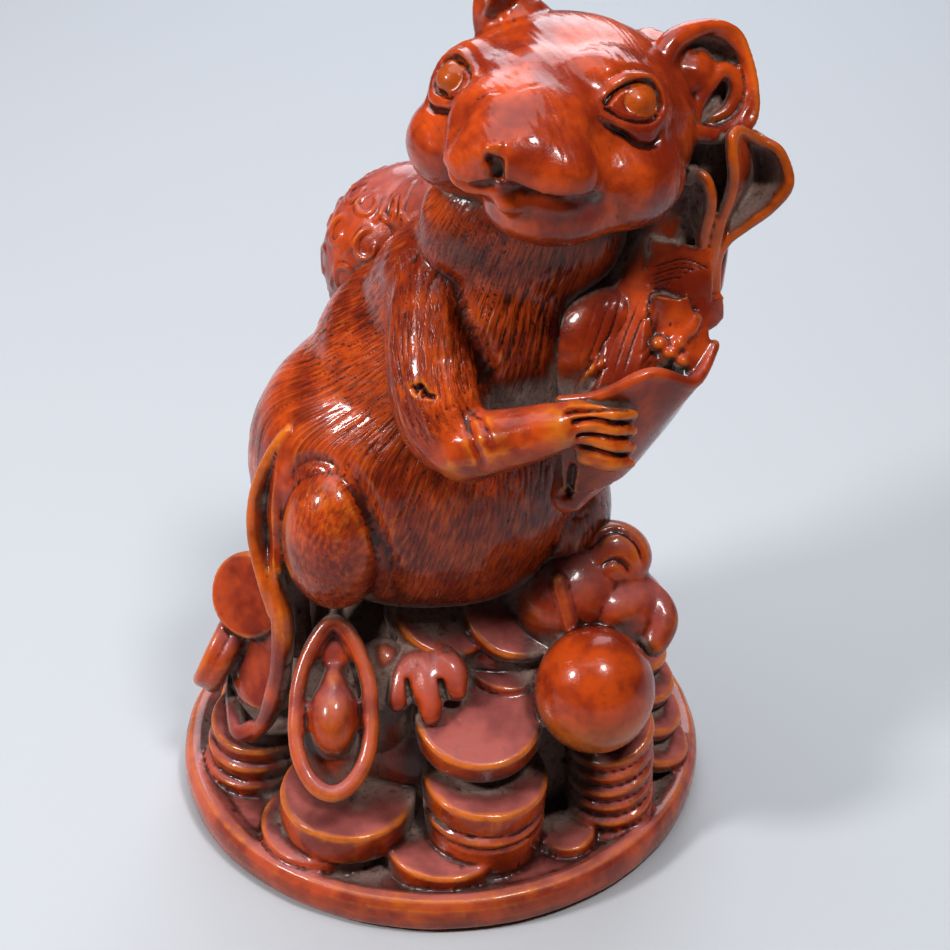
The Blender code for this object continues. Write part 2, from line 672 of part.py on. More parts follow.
def carve_form():
    body = bmesh.new()
    torso(body)
    body = add_object("body", body)
    melt(body, BODY_VOXEL, 10)

    face = bmesh.new()
    head(face)
    face = add_object("head", face)
    melt(face, FACE_VOXEL, 12)
    carve_face(face)

    arms = bmesh.new()
    right_arm(arms)
    left_arm(arms)
    legs(arms)
    arms = add_object("arms", arms)
    melt(arms, FINE_VOXEL, 3)

    treasure = bmesh.new()
    base(treasure)
    heap(treasure)
    treasure = add_object("treasure", treasure)
    melt(treasure, FINE_VOXEL, 1)

    whole = bmesh.new()
    for part in (body, face, arms, treasure):
        take_in(whole, part)
    eyes(whole)
    ears(whole)
    sack(whole)
    tail(whole)
    cabbage(whole)
    return add_object("rat_figurine", whole)


def carve_folds(obj):
    """The crease between the thigh and the belly, and the one under the upper arm."""
    thigh = ((-9.0, -12.0, 49.3), (-6.5, -14.6, 44.5), (-4.6, -14.6, 38.5), (-4.4, -12.6, 32.0))
    gouge(obj, thigh, FOLD_WIDTH, FOLD_DEPTH)
    armpit = ((5.0, -12.0, 66.0), (6.2, -14.0, 62.5), (6.0, -16.0, 58.8))
    gouge(obj, armpit, FOLD_WIDTH, FOLD_DEPTH)


def drop_crumbs(obj):
    """Keep the one outer skin and drop any sealed hollow inside it."""
    bm = bmesh.new()
    bm.from_mesh(obj.data)
    left = set(bm.verts)
    shells = []
    while left:
        shell = {left.pop()}
        edge = list(shell)
        while edge:
            vert = edge.pop()
            for link in vert.link_edges:
                other = link.other_vert(vert)
                if other not in shell:
                    shell.add(other)
                    edge.append(other)
        left -= shell
        shells.append(shell)
    largest = max(shells, key=len)
    spare = [v for shell in shells if shell is not largest for v in shell]
    bmesh.ops.delete(bm, geom=spare, context="VERTS")
    bm.to_mesh(obj.data)
    bm.free()


def level_underside(obj):
    for vert in obj.data.vertices:
        if vert.co.z < UNDERSIDE_LEVEL:
            vert.co.z = 0.0


def thin_out(obj):
    """Bring the skin down to few enough flat facets."""
    obj.data.calc_loop_triangles()
    decimate = obj.modifiers.new("Decimate", "DECIMATE")
    decimate.ratio = MOST_TRIANGLES / len(obj.data.loop_triangles)
    apply_modifiers(obj)


def finish_wood(obj):
    wood = bpy.data.materials.new("polished boxwood")
    wood.use_nodes = True
    shader = wood.node_tree.nodes["Principled BSDF"]
    shader.inputs["Base Color"].default_value = BOXWOOD
    shader.inputs["Roughness"].default_value = 0.28
    shader.inputs["Metallic"].default_value = 0.0
    obj.data.materials.clear()
    obj.data.materials.append(wood)
    obj.data.shade_smooth()


def main():
    for obj in list(bpy.data.objects):
        bpy.data.objects.remove(obj)
    figurine = carve_form()
    melt(figurine, FINE_VOXEL, 1)
    carve_folds(figurine)
    drop_crumbs(figurine)
    thin_out(figurine)
    level_underside(figurine)
    figurine.data.transform(Matrix.Scale(MM, 4))
    finish_wood(figurine)
    carving = bpy.data.collections.new("rat_figurine")
    bpy.context.scene.collection.children.link(carving)
    bpy.context.scene.collection.objects.unlink(figurine)
    carving.objects.link(figurine)


main()
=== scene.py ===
# Dresses the carved boxwood rat: fine carved forms, fur, eyes, leaves, coins and a waxed finish.
# Lengths are in millimetres while a piece is shaped, and become metres when it is finished.
import json
import math

import bpy
import numpy as np
from mathutils import Euler, Matrix, Vector
from mathutils.bvhtree import BVHTree
from mathutils.kdtree import KDTree

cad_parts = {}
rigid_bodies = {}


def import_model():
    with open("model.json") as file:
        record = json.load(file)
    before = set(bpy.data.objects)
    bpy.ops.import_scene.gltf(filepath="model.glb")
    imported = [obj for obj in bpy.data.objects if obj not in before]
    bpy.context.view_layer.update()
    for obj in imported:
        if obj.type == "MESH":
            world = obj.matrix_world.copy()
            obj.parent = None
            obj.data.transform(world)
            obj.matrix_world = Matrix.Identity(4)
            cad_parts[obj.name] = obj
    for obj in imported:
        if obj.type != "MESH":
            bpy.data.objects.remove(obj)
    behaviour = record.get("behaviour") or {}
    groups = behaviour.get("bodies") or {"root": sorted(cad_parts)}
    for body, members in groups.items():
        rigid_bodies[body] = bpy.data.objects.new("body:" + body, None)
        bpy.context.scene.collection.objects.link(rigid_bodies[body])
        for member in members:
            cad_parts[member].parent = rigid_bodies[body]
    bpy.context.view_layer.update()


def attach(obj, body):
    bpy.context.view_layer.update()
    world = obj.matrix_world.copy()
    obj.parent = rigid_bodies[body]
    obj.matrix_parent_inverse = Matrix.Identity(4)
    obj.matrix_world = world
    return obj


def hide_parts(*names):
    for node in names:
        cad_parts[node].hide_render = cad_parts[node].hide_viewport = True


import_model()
mm = 0.001
identity = Matrix()


def frameAt(place, turn):
    return Matrix.Translation(place) @ Euler([math.radians(a) for a in turn]).to_matrix().to_4x4()


def switchTo(mode):
    bpy.ops.object.mode_set(mode=mode)


def added(name, data):  # a new object in the scene
    made = bpy.data.objects.new(name, data)
    bpy.context.scene.collection.objects.link(made)
    return made


def deselectAll():
    bpy.ops.object.select_all(action="DESELECT")


def selectOnly(objects):
    deselectAll()
    for obj in objects:
        obj.select_set(True)
    bpy.context.view_layer.objects.active = objects[0]


def ball(place, radii, turn=(0, 0, 0), home=identity, rings=32):
    deselectAll()
    bpy.ops.mesh.primitive_uv_sphere_add(segments=2 * rings, ring_count=rings, radius=1)
    made = bpy.context.object
    made.matrix_world = home @ frameAt(place, turn) @ Matrix.Diagonal((*radii, 1))
    return made


def smoothPoint(points, t):  # a point at share t of the smooth line through the points
    last = len(points) - 1
    at = min(t * last, last - 1e-6)
    i = int(at)
    u = at - i
    a, b, c, d = (Vector(points[min(max(k, 0), last)]) for k in (i - 1, i, i + 1, i + 2))
    bend = (2 * a - 5 * b + 4 * c - d) * u**2
    return 0.5 * (2 * b + (c - a) * u + bend + (3 * b - a - 3 * c + d) * u**3)


def rope(points, radii, home=identity, steps=40):  # a tapering round bar with domed ends
    line = [smoothPoint(points, k / steps) for k in range(steps + 1)]
    widths = [(r, 0, 0) for r in radii]
    thick = [max(smoothPoint(widths, k / steps).x, 0.05) for k in range(steps + 1)]
    dome = (0.5, 0.9, 1.2, 1.45)
    for end, inner in ((0, 1), (-1, -2)):
        out = (line[end] - line[inner]).normalized()
        spots = [line[end] + out * thick[end] * math.sin(a) for a in dome]
        sizes = [thick[end] * math.cos(a) for a in dome]
        if end == 0:
            line, thick = spots[::-1] + line, sizes[::-1] + thick
        else:
            line, thick = line + spots, thick + sizes
    curve = bpy.data.curves.new("rope", "CURVE")
    curve.dimensions = "3D"
    curve.bevel_depth = 1
    curve.bevel_resolution = 3
    curve.use_fill_caps = True
    spline = curve.splines.new("POLY")
    spline.points.add(len(line) - 1)
    for point, spot, width in zip(spline.points, line, thick):
        point.co = (*spot, 1)
        point.radius = width
    made = added("rope", curve)
    made.matrix_world = home
    selectOnly([made])
    bpy.ops.object.convert(target="MESH")
    return bpy.context.object


def applied(made, kind, **values):  # adds a modifier with these values and applies it
    change = made.modifiers.new(kind.title(), kind)
    for key, value in values.items():
        setattr(change, key, value)
    bpy.ops.object.modifier_apply(modifier=change.name)
    return made


def sheet(rows, thick, cuts=30):  # a bent sheet through rows of points
    deselectAll()
    bpy.ops.mesh.primitive_grid_add(x_subdivisions=cuts, y_subdivisions=cuts, size=1)
    made = bpy.context.object
    for vert in made.data.vertices:
        across, up = vert.co.x + 0.5, vert.co.y + 0.5
        vert.co = smoothPoint([smoothPoint(row, across) for row in rows], up)
    return applied(made, "SOLIDIFY", thickness=thick, offset=0, use_even_offset=True)


def coin(place, radius, thick, turn, edge=0.45):  # place is the middle of its top face
    deselectAll()
    sunk = (0, 0, -thick / 2)
    bpy.ops.mesh.primitive_cylinder_add(vertices=64, radius=radius, depth=thick, location=sunk)
    made = bpy.context.object
    bpy.ops.object.transform_apply()
    applied(made, "BEVEL", width=edge, segments=3, limit_method="ANGLE")
    made.matrix_world = frameAt(place, turn)
    return made


def cupOf(radii, wall, rim, home):  # a shallow bowl with a rolled rim, open towards +Z of home
    deselectAll()
    bpy.ops.mesh.primitive_uv_sphere_add(segments=48, ring_count=24, radius=1)
    made = bpy.context.object
    switchTo("EDIT")
    bpy.ops.mesh.select_all(action="SELECT")
    bpy.ops.mesh.bisect(plane_no=(0, 0, 1), clear_outer=True)
    switchTo("OBJECT")
    made.data.transform(home @ Matrix.Diagonal((*radii, 1)))
    applied(made, "SOLIDIFY", thickness=wall, offset=0)
    turns = [math.tau * k / 24 for k in range(25)]
    ring = [(radii[0] * math.cos(a), radii[1] * math.sin(a), 0) for a in turns]
    return [made, rope(ring, [rim / 2] * 25, home, 72)]


def fuse(name, objects, voxel, passes):  # one skin over all the forms, creases softened
    flat = [o for item in objects for o in (item if isinstance(item, list) else [item])]
    selectOnly(flat)
    bpy.ops.object.join()
    made = bpy.context.object
    bpy.ops.object.transform_apply()
    made.name = name
    applied(made, "REMESH", mode="VOXEL", voxel_size=voxel)
    return applied(made, "SMOOTH", factor=0.5, iterations=passes)


def readSkin(obj):
    spots = np.empty(len(obj.data.vertices) * 3, np.float32)
    facing = np.empty_like(spots)
    obj.data.vertices.foreach_get("co", spots)
    obj.data.vertices.foreach_get("normal", facing)
    return spots.reshape(-1, 3).astype(float), facing.reshape(-1, 3).astype(float)


def writeSkin(obj, spots):
    obj.data.vertices.foreach_set("co", spots.astype(np.float32).ravel())
    obj.data.update()


def falloff(share):  # 1 in the middle, easing to 0 at share 1
    s = np.clip(share, 0, 1)
    return 1 - s * s * (3 - 2 * s)


def rise(value, low, high):  # 0 up to low, easing to 1 at high
    return 1 - falloff((value - low) / (high - low))


def alongLine(spots, line):  # nearest distance to the line, and the share of the line where that is
    best = np.full(len(spots), 1e9)
    where = np.zeros(len(spots))
    for k in range(len(line) - 1):
        a, b = line[k], line[k + 1]
        span = b - a
        t = np.clip(((spots - a) @ span) / max(span @ span, 1e-9), 0, 1)
        gap = np.linalg.norm(spots - a - t[:, None] * span, axis=1)
        nearer = gap < best
        best[nearer] = gap[nearer]
        where[nearer] = (k + t[nearer]) / (len(line) - 1)
    return best, where


def treeOf(pieces):
    corners, faces, first = [], [], 0
    for piece in pieces:
        piece.data.calc_loop_triangles()
        thirds = np.empty(len(piece.data.loop_triangles) * 3, np.int32)
        piece.data.loop_triangles.foreach_get("vertices", thirds)
        faces.append(thirds.reshape(-1, 3) + first)
        corners.append(readSkin(piece)[0])
        first += len(corners[-1])
    return BVHTree.FromPolygons(np.concatenate(corners).tolist(), np.concatenate(faces).tolist())


def carveAll(obj, strokes, home=identity, steps=24):
    # strokes are (points, width, depth, taper): a positive depth cuts, a negative one raises a ridge
    tree = treeOf([obj])
    spots, facing = readSkin(obj)
    for points, width, depth, taper in strokes:
        line = [home @ smoothPoint(points, k / steps) for k in range(steps + 1)]
        line = np.array([tuple(tree.find_nearest(p)[0]) for p in line])
        near = np.all((spots > line.min(0) - width) & (spots < line.max(0) + width), axis=1)
        if not near.any():
            continue
        gap, where = alongLine(spots[near], line)
        fade = np.clip(np.minimum(where, 1 - where) / taper, 0, 1)
        spots[near] -= facing[near] * (depth * falloff(gap / width) * fade)[:, None]
    writeSkin(obj, spots)


def press(obj, centre, radii, depth, home=identity):
    # a smooth dent, or a swelling if the depth is negative
    spots, facing = readSkin(obj)
    back = (home @ Matrix.Translation(centre)).inverted()
    local = (spots @ np.array(back.to_3x3()).T + np.array(back.translation)) / np.array(radii)
    spots -= facing * (depth * falloff(np.linalg.norm(local, axis=1)))[:, None]
    writeSkin(obj, spots)


def noise2(u, v, seed):  # smooth noise from -1 to 1 over a plane
    iu, iv = np.floor(u), np.floor(v)
    fu, fv = u - iu, v - iv
    fu, fv = fu * fu * (3 - 2 * fu), fv * fv * (3 - 2 * fv)

    def corner(a, b):
        h = np.sin(a * 127.1 + b * 311.7 + seed * 74.7) * 43758.5453
        return h - np.floor(h)

    low = corner(iu, iv) * (1 - fu) + corner(iu + 1, iv) * fu
    high = corner(iu, iv + 1) * (1 - fu) + corner(iu + 1, iv + 1) * fu
    return 2 * (low * (1 - fv) + high * fv) - 1


def noise3(spots, size, seed):  # smooth noise over space, made of three planes
    x, y, z = (spots / size).T
    first = noise2(x + 0.3 * z, y - 0.3 * z, seed)
    second = noise2(y + 0.3 * x, z - 0.3 * x, seed + 1)
    return (first + second + noise2(z + 0.3 * y, x - 0.3 * y, seed + 2)) / 3


def hairCuts(across, along, pitch, length, seed):  # 1 in the middle of a hair cut, 0 between two
    sway = 0.9 * noise2(across / (5 * pitch), along / (1.5 * length), seed + 5)
    n = noise2(across / pitch + sway, along / length + 0.3 * sway, seed)
    return np.exp(-((n / 0.26) ** 2))


def handMade(obj, amount, seed):  # the slight unevenness a knife and a cloth leave
    spots, facing = readSkin(obj)
    wave = noise3(spots, 3.6, seed) + 0.5 * noise3(spots, 1.5, seed + 9)
    writeSkin(obj, spots + facing * (amount * wave)[:, None])


body = {
    "coarse": 0.8,  # the voxel that blends the large forms
    "limbs": 0.4,
    "fine": 0.2,  # the voxel of the finished skin
    "most": 198000,  # triangles
    "uneven": 0.10,
    "furPitch": 0.56,  # the space between two fur cuts
    "furDepth": 0.12,
    "torso": (  # middle, radii, tilt
        ((-2, 1, 41.4), (18.4, 15.5, 16.9), 0),
        ((0, 2, 35.6), (15.5, 14.3, 11), 0),
        ((0.5, 1.5, 52), (13.8, 12.5, 14), 14),
        ((4.5, -1.5, 60), (11, 10, 12), 0),
        ((8.5, -2.5, 69), (9.8, 9, 9.5), 0),
        ((1, -1.5, 62.5), (8, 8.5, 8), 20),
        ((8.6, -6, 72.6), (10.2, 7.4, 8.6), 0),
        ((0.2, -3.6, 65.6), (5.8, 6.6, 6.4), 0),
        ((6.5, -6, 60), (9.6, 8.8, 12), 0),
    ),
    "thigh": ((-10.5, -10.3, 38.8), (5.5, 6, 8.8)),
    "upperArm": ((1.2, -6, 66), (0.3, -11.2, 61.3), (1.2, -15.6, 56.8), (3.2, -17.5, 55)),
    "foreArm": ((3, -18, 55.2), (7, -19.6, 57), (11.5, -20.6, 59)),
}


def armForms():
    forms = [
        rope(body["upperArm"], (5.6, 5.2, 4.8, 3.8)),
        rope(body["foreArm"], (3.6, 3.1, 2.5)),
        ball((13.6, -20.4, 59.3), (2.8, 1.7, 2.5), rings=20),
        rope(((14, 2, 66), (21.5, 1.5, 62), (25.5, -3, 62)), (5, 4.2, 2.6)),
    ]
    for k in range(4):
        z = 61.0 - 1.55 * k
        knuckle, bend = (14.2, -20.8 - 0.1 * k, z - 0.2), (16.8, -21.3, z - 0.2 - 0.25 * k)
        forms.append(rope((knuckle, bend, (18.9, -20.3, z - 0.7 - 0.3 * k)), (0.9, 0.9, 0.6), steps=14))
        far = ((25.5 + 0.2 * k, -5, 65.5 - 1.2 * k), (24.5 + 0.3 * k, -10, 66.2 - 1.2 * k))
        forms.append(rope(far, (1, 0.8), steps=10))
    return forms


def legForms():
    root = (-1.4, -10, 23.6)
    toes = (
        (root, (-3.3, -12.8, 22.8), (-4.2, -15.4, 20.9)),
        (root, (-0.9, -13.6, 22.4), (-0.7, -16.6, 20)),
        (root, (1.2, -12.6, 23.2), (2, -14.7, 21.9)),
    )
    forms = [rope(toe, (2.4, 2, 1.3), steps=16) for toe in toes]
    return forms + [
        ball((-0.9, -12.6, 22.6), (4, 2.9, 2.1), (32, 0, 0), rings=20),
        ball(*body["thigh"], (8, 0, 10)),
        ball((13, 2, 34), (6, 8.5, 9.5)),
        rope(((-3.4, -5, 25), (-2.4, -8, 24), root), (2.8, 2.8, 2.6)),
    ]


tail = {
    "root": (
        (-4, 12, 31), (-10.5, 15.4, 23.6), (-17.6, 11.2, 16.8),
        (-23, 3, 11.5), (-22.6, -8.2, 11), (-20.6, -10, 12.4),
    ),
    "rows": (
        ((-21.6, -9.4, 11.3), (-20.9, -9.5, 10.9), (-20.2, -9.4, 10.5)),
        ((-19.6, -10.4, 14.7), (-18.9, -10.7, 14.7), (-18.2, -10.6, 14.8)),
        ((-18, -11.2, 19.8), (-17.3, -11.5, 20.1), (-16.7, -11.4, 20.6)),
        ((-17.3, -11.6, 25.1), (-16.5, -11.9, 25.4), (-15.8, -11.8, 25.8)),
        ((-17.4, -11.4, 29.7), (-16.4, -11.4, 30), (-15.6, -11.6, 30.4)),
        ((-18.3, -10.4, 33.4), (-17.3, -9.6, 33.9), (-16.4, -10.6, 34.6)),
        ((-19.1, -8.8, 36.3), (-17.6, -7.4, 36.6), (-16.4, -9.4, 37.1)),
        ((-19.3, -7.9, 39.5), (-17.7, -6.4, 40.2), (-16.4, -8.8, 41)),
        ((-18.8, -7.4, 42.6), (-17.2, -6, 43.6), (-15.9, -8.1, 44.9)),
        ((-17.6, -7.1, 45.7), (-16.4, -6, 46.5), (-15.5, -7.5, 47.2)),
        ((-16.2, -6.9, 48.3), (-15.6, -6.5, 48.6), (-15, -7.1, 48.9)),
        ((-15.1, -6.7, 49.8), (-14.9, -6.7, 49.8), (-14.7, -6.8, 49.8)),
    ),
}


def tailForms():
    rows = tail["rows"]
    outer = [row[0] for row in rows[4:]]
    inner = [row[2] for row in rows[5:]]
    ridge = [(row[1][0], row[1][1] - 0.2, row[1][2]) for row in rows[:6]]
    backing = ((-16.6, -5, 46), (-16.8, -5, 40), (-16.2, -6.6, 32), (-15.4, -9, 24))
    return [
        rope(tail["root"], (3.4, 2.8, 2.3, 1.6, 1.1, 1), steps=70),
        sheet(rows, 1.3, cuts=60),
        rope(outer, (0.6, 0.65, 0.65, 0.6, 0.6, 0.55, 0.45, 0.35), steps=60),
        rope(inner, (0.4, 0.4, 0.4, 0.4, 0.4, 0.4, 0.3), steps=50),
        rope(ridge, (0.8, 1.1, 1.3, 1.3, 1.25, 0.9), steps=60),
        rope(backing, (1.2, 1.9, 2.2, 1.9)),
    ]


def lineArray(points):
    return np.array([tuple(smoothPoint(points, k / 30)) for k in range(31)])


def furPlan(spots):
    # for each kind of coat: coordinates across and down the hairs, hair length, and where it lies
    x, y, z = spots.T
    middle = np.stack([-2 + 0.28 * (z - 35), 1 - 0.05 * (z - 35)])
    angle = np.arctan2(x - middle[0], -(y - middle[1]))  # 0 at the front, negative on the left
    sweep = 0.75 * rise(-angle, 0.1, 0.9) * rise(z, 44, 54)
    across = 15 * angle - sweep * (z - 52)
    down = z + 0.5 * sweep * 15 * angle

    armLine = lineArray(body["upperArm"])
    armGap, armShare = alongLine(spots, armLine)
    onArm = falloff((armGap - 4.9) / 1.6)
    along = armLine[-1] - armLine[0]
    along /= np.linalg.norm(along)
    outward = np.array((-0.5, -0.5, 0.7))
    outward -= along * (outward @ along)
    outward /= np.linalg.norm(outward)
    offset = spots - armLine[np.clip(np.rint(armShare * 30).astype(int), 0, 30)]
    around = np.arctan2(offset @ np.cross(along, outward), offset @ outward)
    foreGap, _ = alongLine(spots, lineArray(body["foreArm"]))
    handGap = np.linalg.norm(spots - (16, -20.8, 58.5), axis=1)
    smooth = np.maximum(falloff((foreGap - 3) / 2), falloff((handGap - 3.8) / 2))
    middleOf, radii = (np.array(v) for v in body["thigh"])
    onThigh = falloff((np.linalg.norm((spots - middleOf) / radii, axis=1) - 1.04) / 0.12)
    onTail = falloff(np.maximum(np.abs(x + 17.6) - 2.6, y + 5.4)) * (z < 51)
    bare = (1 - smooth) * (1 - onTail) * rise(z, 24.5, 27)
    return [
        (across, down, 3.6, (1 - onArm) * (1 - onThigh) * bare),
        (4.8 * around, armShare * 17, 2.6, onArm * (1 - onThigh) * bare),
        (x * 0.8 - y * 0.6, z + 0.2 * x, 1.5, 0.8 * onThigh * bare),
    ]


def furBody(obj):
    spots, facing = readSkin(obj)
    pitch = body["furPitch"]
    cuts = 0
    for seed, (across, down, length, where) in enumerate(furPlan(spots)):
        wide = hairCuts(across, down, pitch * 1.45, length, 3 + 10 * seed)
        narrow = hairCuts(across, down, pitch * 0.85, length * 0.6, 8 + 10 * seed)
        cuts = cuts + where * (0.7 * wide + 0.6 * narrow)
    patchy = 0.6 + 0.6 * noise3(spots, 6, 40)
    chest = 1 + 0.8 * falloff(np.linalg.norm((spots - (6, -13, 68)) / (9, 9, 12), axis=1))
    writeSkin(obj, spots - facing * (body["furDepth"] * patchy * chest * cuts)[:, None])


def markCoat(obj):  # leaves the hair coordinates on the skin for the finish to read
    spots, _ = readSkin(obj)
    coat = np.zeros((len(spots), 3))
    best = np.full(len(spots), -1.0)
    for across, down, length, where in furPlan(spots):
        better = where > best
        best[better] = where[better]
        coat[better] = np.stack([across, down * 4.2 / length, where], axis=1)[better]
    layer = obj.data.attributes.new("coat", "FLOAT_VECTOR", "POINT")
    layer.data.foreach_set("vector", coat.astype(np.float32).ravel())


bodyCreases = (  # points, width, depth, taper
    ((  # beside the thigh
        (-10, -10.5, 50), (-8, -12.6, 47.3), (-6.3, -14, 43.5),
        (-4.9, -14.2, 38.5), (-4.6, -12.6, 33), (-5, -10.8, 29.4),
    ), 1.7, 0.5, 0.2),
    (((-15.4, -9, 44.5), (-13.6, -9.6, 47.6), (-11, -10.8, 48.6), (-8.6, -12.3, 47)), 1.1, 0.4, 0.3),
    ((  # between arm and chest
        (0.7, -8.7, 70.1), (2.4, -11.6, 67.1), (4.4, -13.5, 64), (5.4, -15.5, 61), (6.6, -16.5, 59.4),
    ), 1.7, 0.5, 0.3),
    (((2.1, -18.2, 59.6), (3.5, -19.2, 58.2), (4.6, -21.2, 56.6), (5, -21.2, 54.8)), 0.8, 0.3, 0.3),
    (((3.4, -18.4, 60.2), (4.8, -19.6, 58.8), (6, -21.2, 57.6)), 0.6, 0.2, 0.3),
    ((  # the crack in the upper arm
        (-2.1, -16.9, 61.4), (-1.6, -17.4, 61), (-1.1, -17.2, 61.5), (-0.5, -17.8, 60.8), (0.4, -17.9, 60.7),
    ), 0.34, 0.8, 0.1),
    (((-1, -17.4, 61.2), (-0.7, -17.6, 60.2)), 0.26, 0.4, 0.3),
)
fingerSlits = (
    ((12.8, -21.9, 60.4), (14.4, -22, 60.6), (16.4, -21.9, 60.4), (19, -21, 59.6)),
    ((13.2, -22, 58.9), (14.8, -22.2, 58.9), (16.8, -22, 58.6), (19, -21, 57.9)),
    ((13.4, -22, 57.5), (15, -22.2, 57.3), (17, -22, 56.7), (18.8, -21, 56)),
    ((12.2, -21.6, 61.6), (14.2, -21.8, 62), (16.4, -21.2, 62.2), (18.4, -20.4, 61.6)),
)
toeSlits = (
    ((-3.3, -14.2, 23.4), (-2.9, -15.6, 21.6), (-2.4, -16.6, 19)),
    ((0.2, -14.4, 23.4), (0.7, -15.4, 21.8), (1.1, -16.2, 20.2)),
)


def carveBody(obj):
    fingers = [(slit, 0.5, 0.75, 0.15) for slit in fingerSlits]
    toes = [(slit, 0.5, 1, 0.2) for slit in toeSlits]
    carveAll(obj, [*bodyCreases, *fingers, *toes])
    press(obj, (9, -13, 72), (10, 8, 7), 0.8)


def makeBody():
    torso = [ball(place, radii, (0, tilt, 0)) for place, radii, tilt in body["torso"]]
    trunk = fuse("trunk", torso, body["coarse"], 10)
    limbs = fuse("limbs", armForms() + legForms(), body["limbs"], 3)
    made = fuse("ratBody", [trunk, limbs] + tailForms(), body["fine"], 4)
    carveBody(made)
    handMade(made, body["uneven"], 50)
    furBody(made)
    return made


head = {
    "centre": (11.8, -6.5, 82.3),
    "turn": (-12, 0, -23),  # looking up and to the left
    "eyes": {1: (9.9, -7.6, 5.4), -1: (-8.2, -8.6, 5.4)},  # right, left
    "eyeRadius": 1.85,
    "coarse": 0.6,
    "fine": 0.2,
    "most": 170000,
    "uneven": 0.06,
    "forms": (  # middle, radii, turn
        ((0, 1.2, 0.8), (12.4, 12, 10.2), 0),
        ((0.3, -5, 2.8), (8.6, 8.8, 6.6), 0),
        ((0.6, -9.6, 2.1), (7.6, 7.6, 5.7), 0),
        ((0.9, -13.4, 1.3), (6.2, 5.4, 4.3), 0),  # the broad, blunt nose
        ((0.7, -16.8, 1.7), (3.2, 2.4, 2), 0),
        ((4.4, -13.2, 0.3), (4.5, 4.6, 3.7), -14),  # whisker pads
        ((-2, -14.2, 0.3), (3.5, 4.2, 3.3), 10),
        ((2.8, -8.6, -4.3), (6.2, 6.4, 3.5), 0),  # lower jaw
        ((7.5, -4.4, -1.4), (6, 7.6, 5.2), 0),  # cheeks
        ((-6.9, -3.9, -1), (6.2, 7.4, 5.1), 0),
        ((1.5, -16, -3), (1.3, 1.2, 1), 0),
        ((6.4, -4.4, 3.9), (5.4, 5.6, 5.2), 0),  # brows
        ((5, -4.6, 5.6), (5.4, 3.7, 4.2), 56),
        ((-5.9, -4.6, 3.6), (5.2, 5.6, 5.2), 0),
    ),
}
headHome = frameAt(head["centre"], head["turn"])


def eyeHome(side):  # X towards the ear, Y up, Z out of the face
    out = Vector((side * 0.649, -0.616, 0.446)).normalized()
    back = Vector((side * 0.692, 0.722, 0))
    back = (back - out * back.dot(out)).normalized()
    up = out.cross(back) * side
    local = Matrix((back, up, out)).transposed().to_4x4()
    return headHome @ Matrix.Translation(head["eyes"][side]) @ local


def headForms():
    return [ball(place, radii, (0, 0, turn), headHome) for place, radii, turn in head["forms"]]


earHome = frameAt((25.8, -4.6, 86.6), (62, 0, 26))
earRim = (
    (-5, 0.6, 0.1), (-4.7, 2.8, 0.1), (-3.2, 4.3, 0.1), (-0.9, 4.9, 0.1),
    (1.7, 4.9, 0.1), (3.6, 3.9, 0.1), (4.3, 2, 0.1), (4.5, -1, 0.1),
    (3.8, -3.8, 0.1), (2.2, -4.8, 0.1), (-0.6, -4.9, 0.1), (-3.2, -4, 0.1),
)
earHook = (
    (-2.2, -3.4, -1), (-1.4, -1.6, -0.9), (0, -0.2, -0.7), (1.6, 0.9, -0.7),
    (2.7, 0.2, -0.8), (2.7, -1.5, -0.9), (1.5, -2.8, -1), (-0.2, -3.2, -1),
)


def earForms():
    band = (1.15, 1.25, 1.2, 1, 0.7, 0.55, 0.45, 0.45, 0.5, 0.65, 0.8, 0.9)
    left = frameAt((5.4, 0.8, 95.6), (80, 0, -84))
    return [
        cupOf((4.3, 4.6, 3.4), 1, 0.8, earHome),
        rope(earRim, band, earHome, steps=90),
        rope(earHook, (0.8, 0.9, 0.9, 0.9, 0.9, 0.8, 0.7, 0.4), earHome, steps=50),
        rope(((20, -1.5, 86.5), (23.6, -2.6, 86.5)), (4, 3), steps=8),
        cupOf((4.2, 4.6, 2.8), 1, 1.1, left),
        rope(((9, -1.5, 88), (6.9, 0.2, 91.6), (6.6, 0.8, 94)), (4.8, 3.4, 2.6), steps=12),
    ]


mouth = (
    (
        (1.2, -18.4, -0.9), (2.5, -17.9, -1.9), (4.2, -17.2, -2.6),
        (5.8, -16.4, -2.6), (7.3, -15, -2.3), (8.5, -12.7, -2),
    ),
    ((1.2, -18.4, -0.9), (-0.8, -17.6, -2), (-2.7, -17.4, -2.3), (-4.4, -17, -1.4), (-5.4, -15, -0.6)),
    ((0.9, -19.2, 1.4), (1.1, -19, 0.3), (1.1, -18.6, -1)),
)


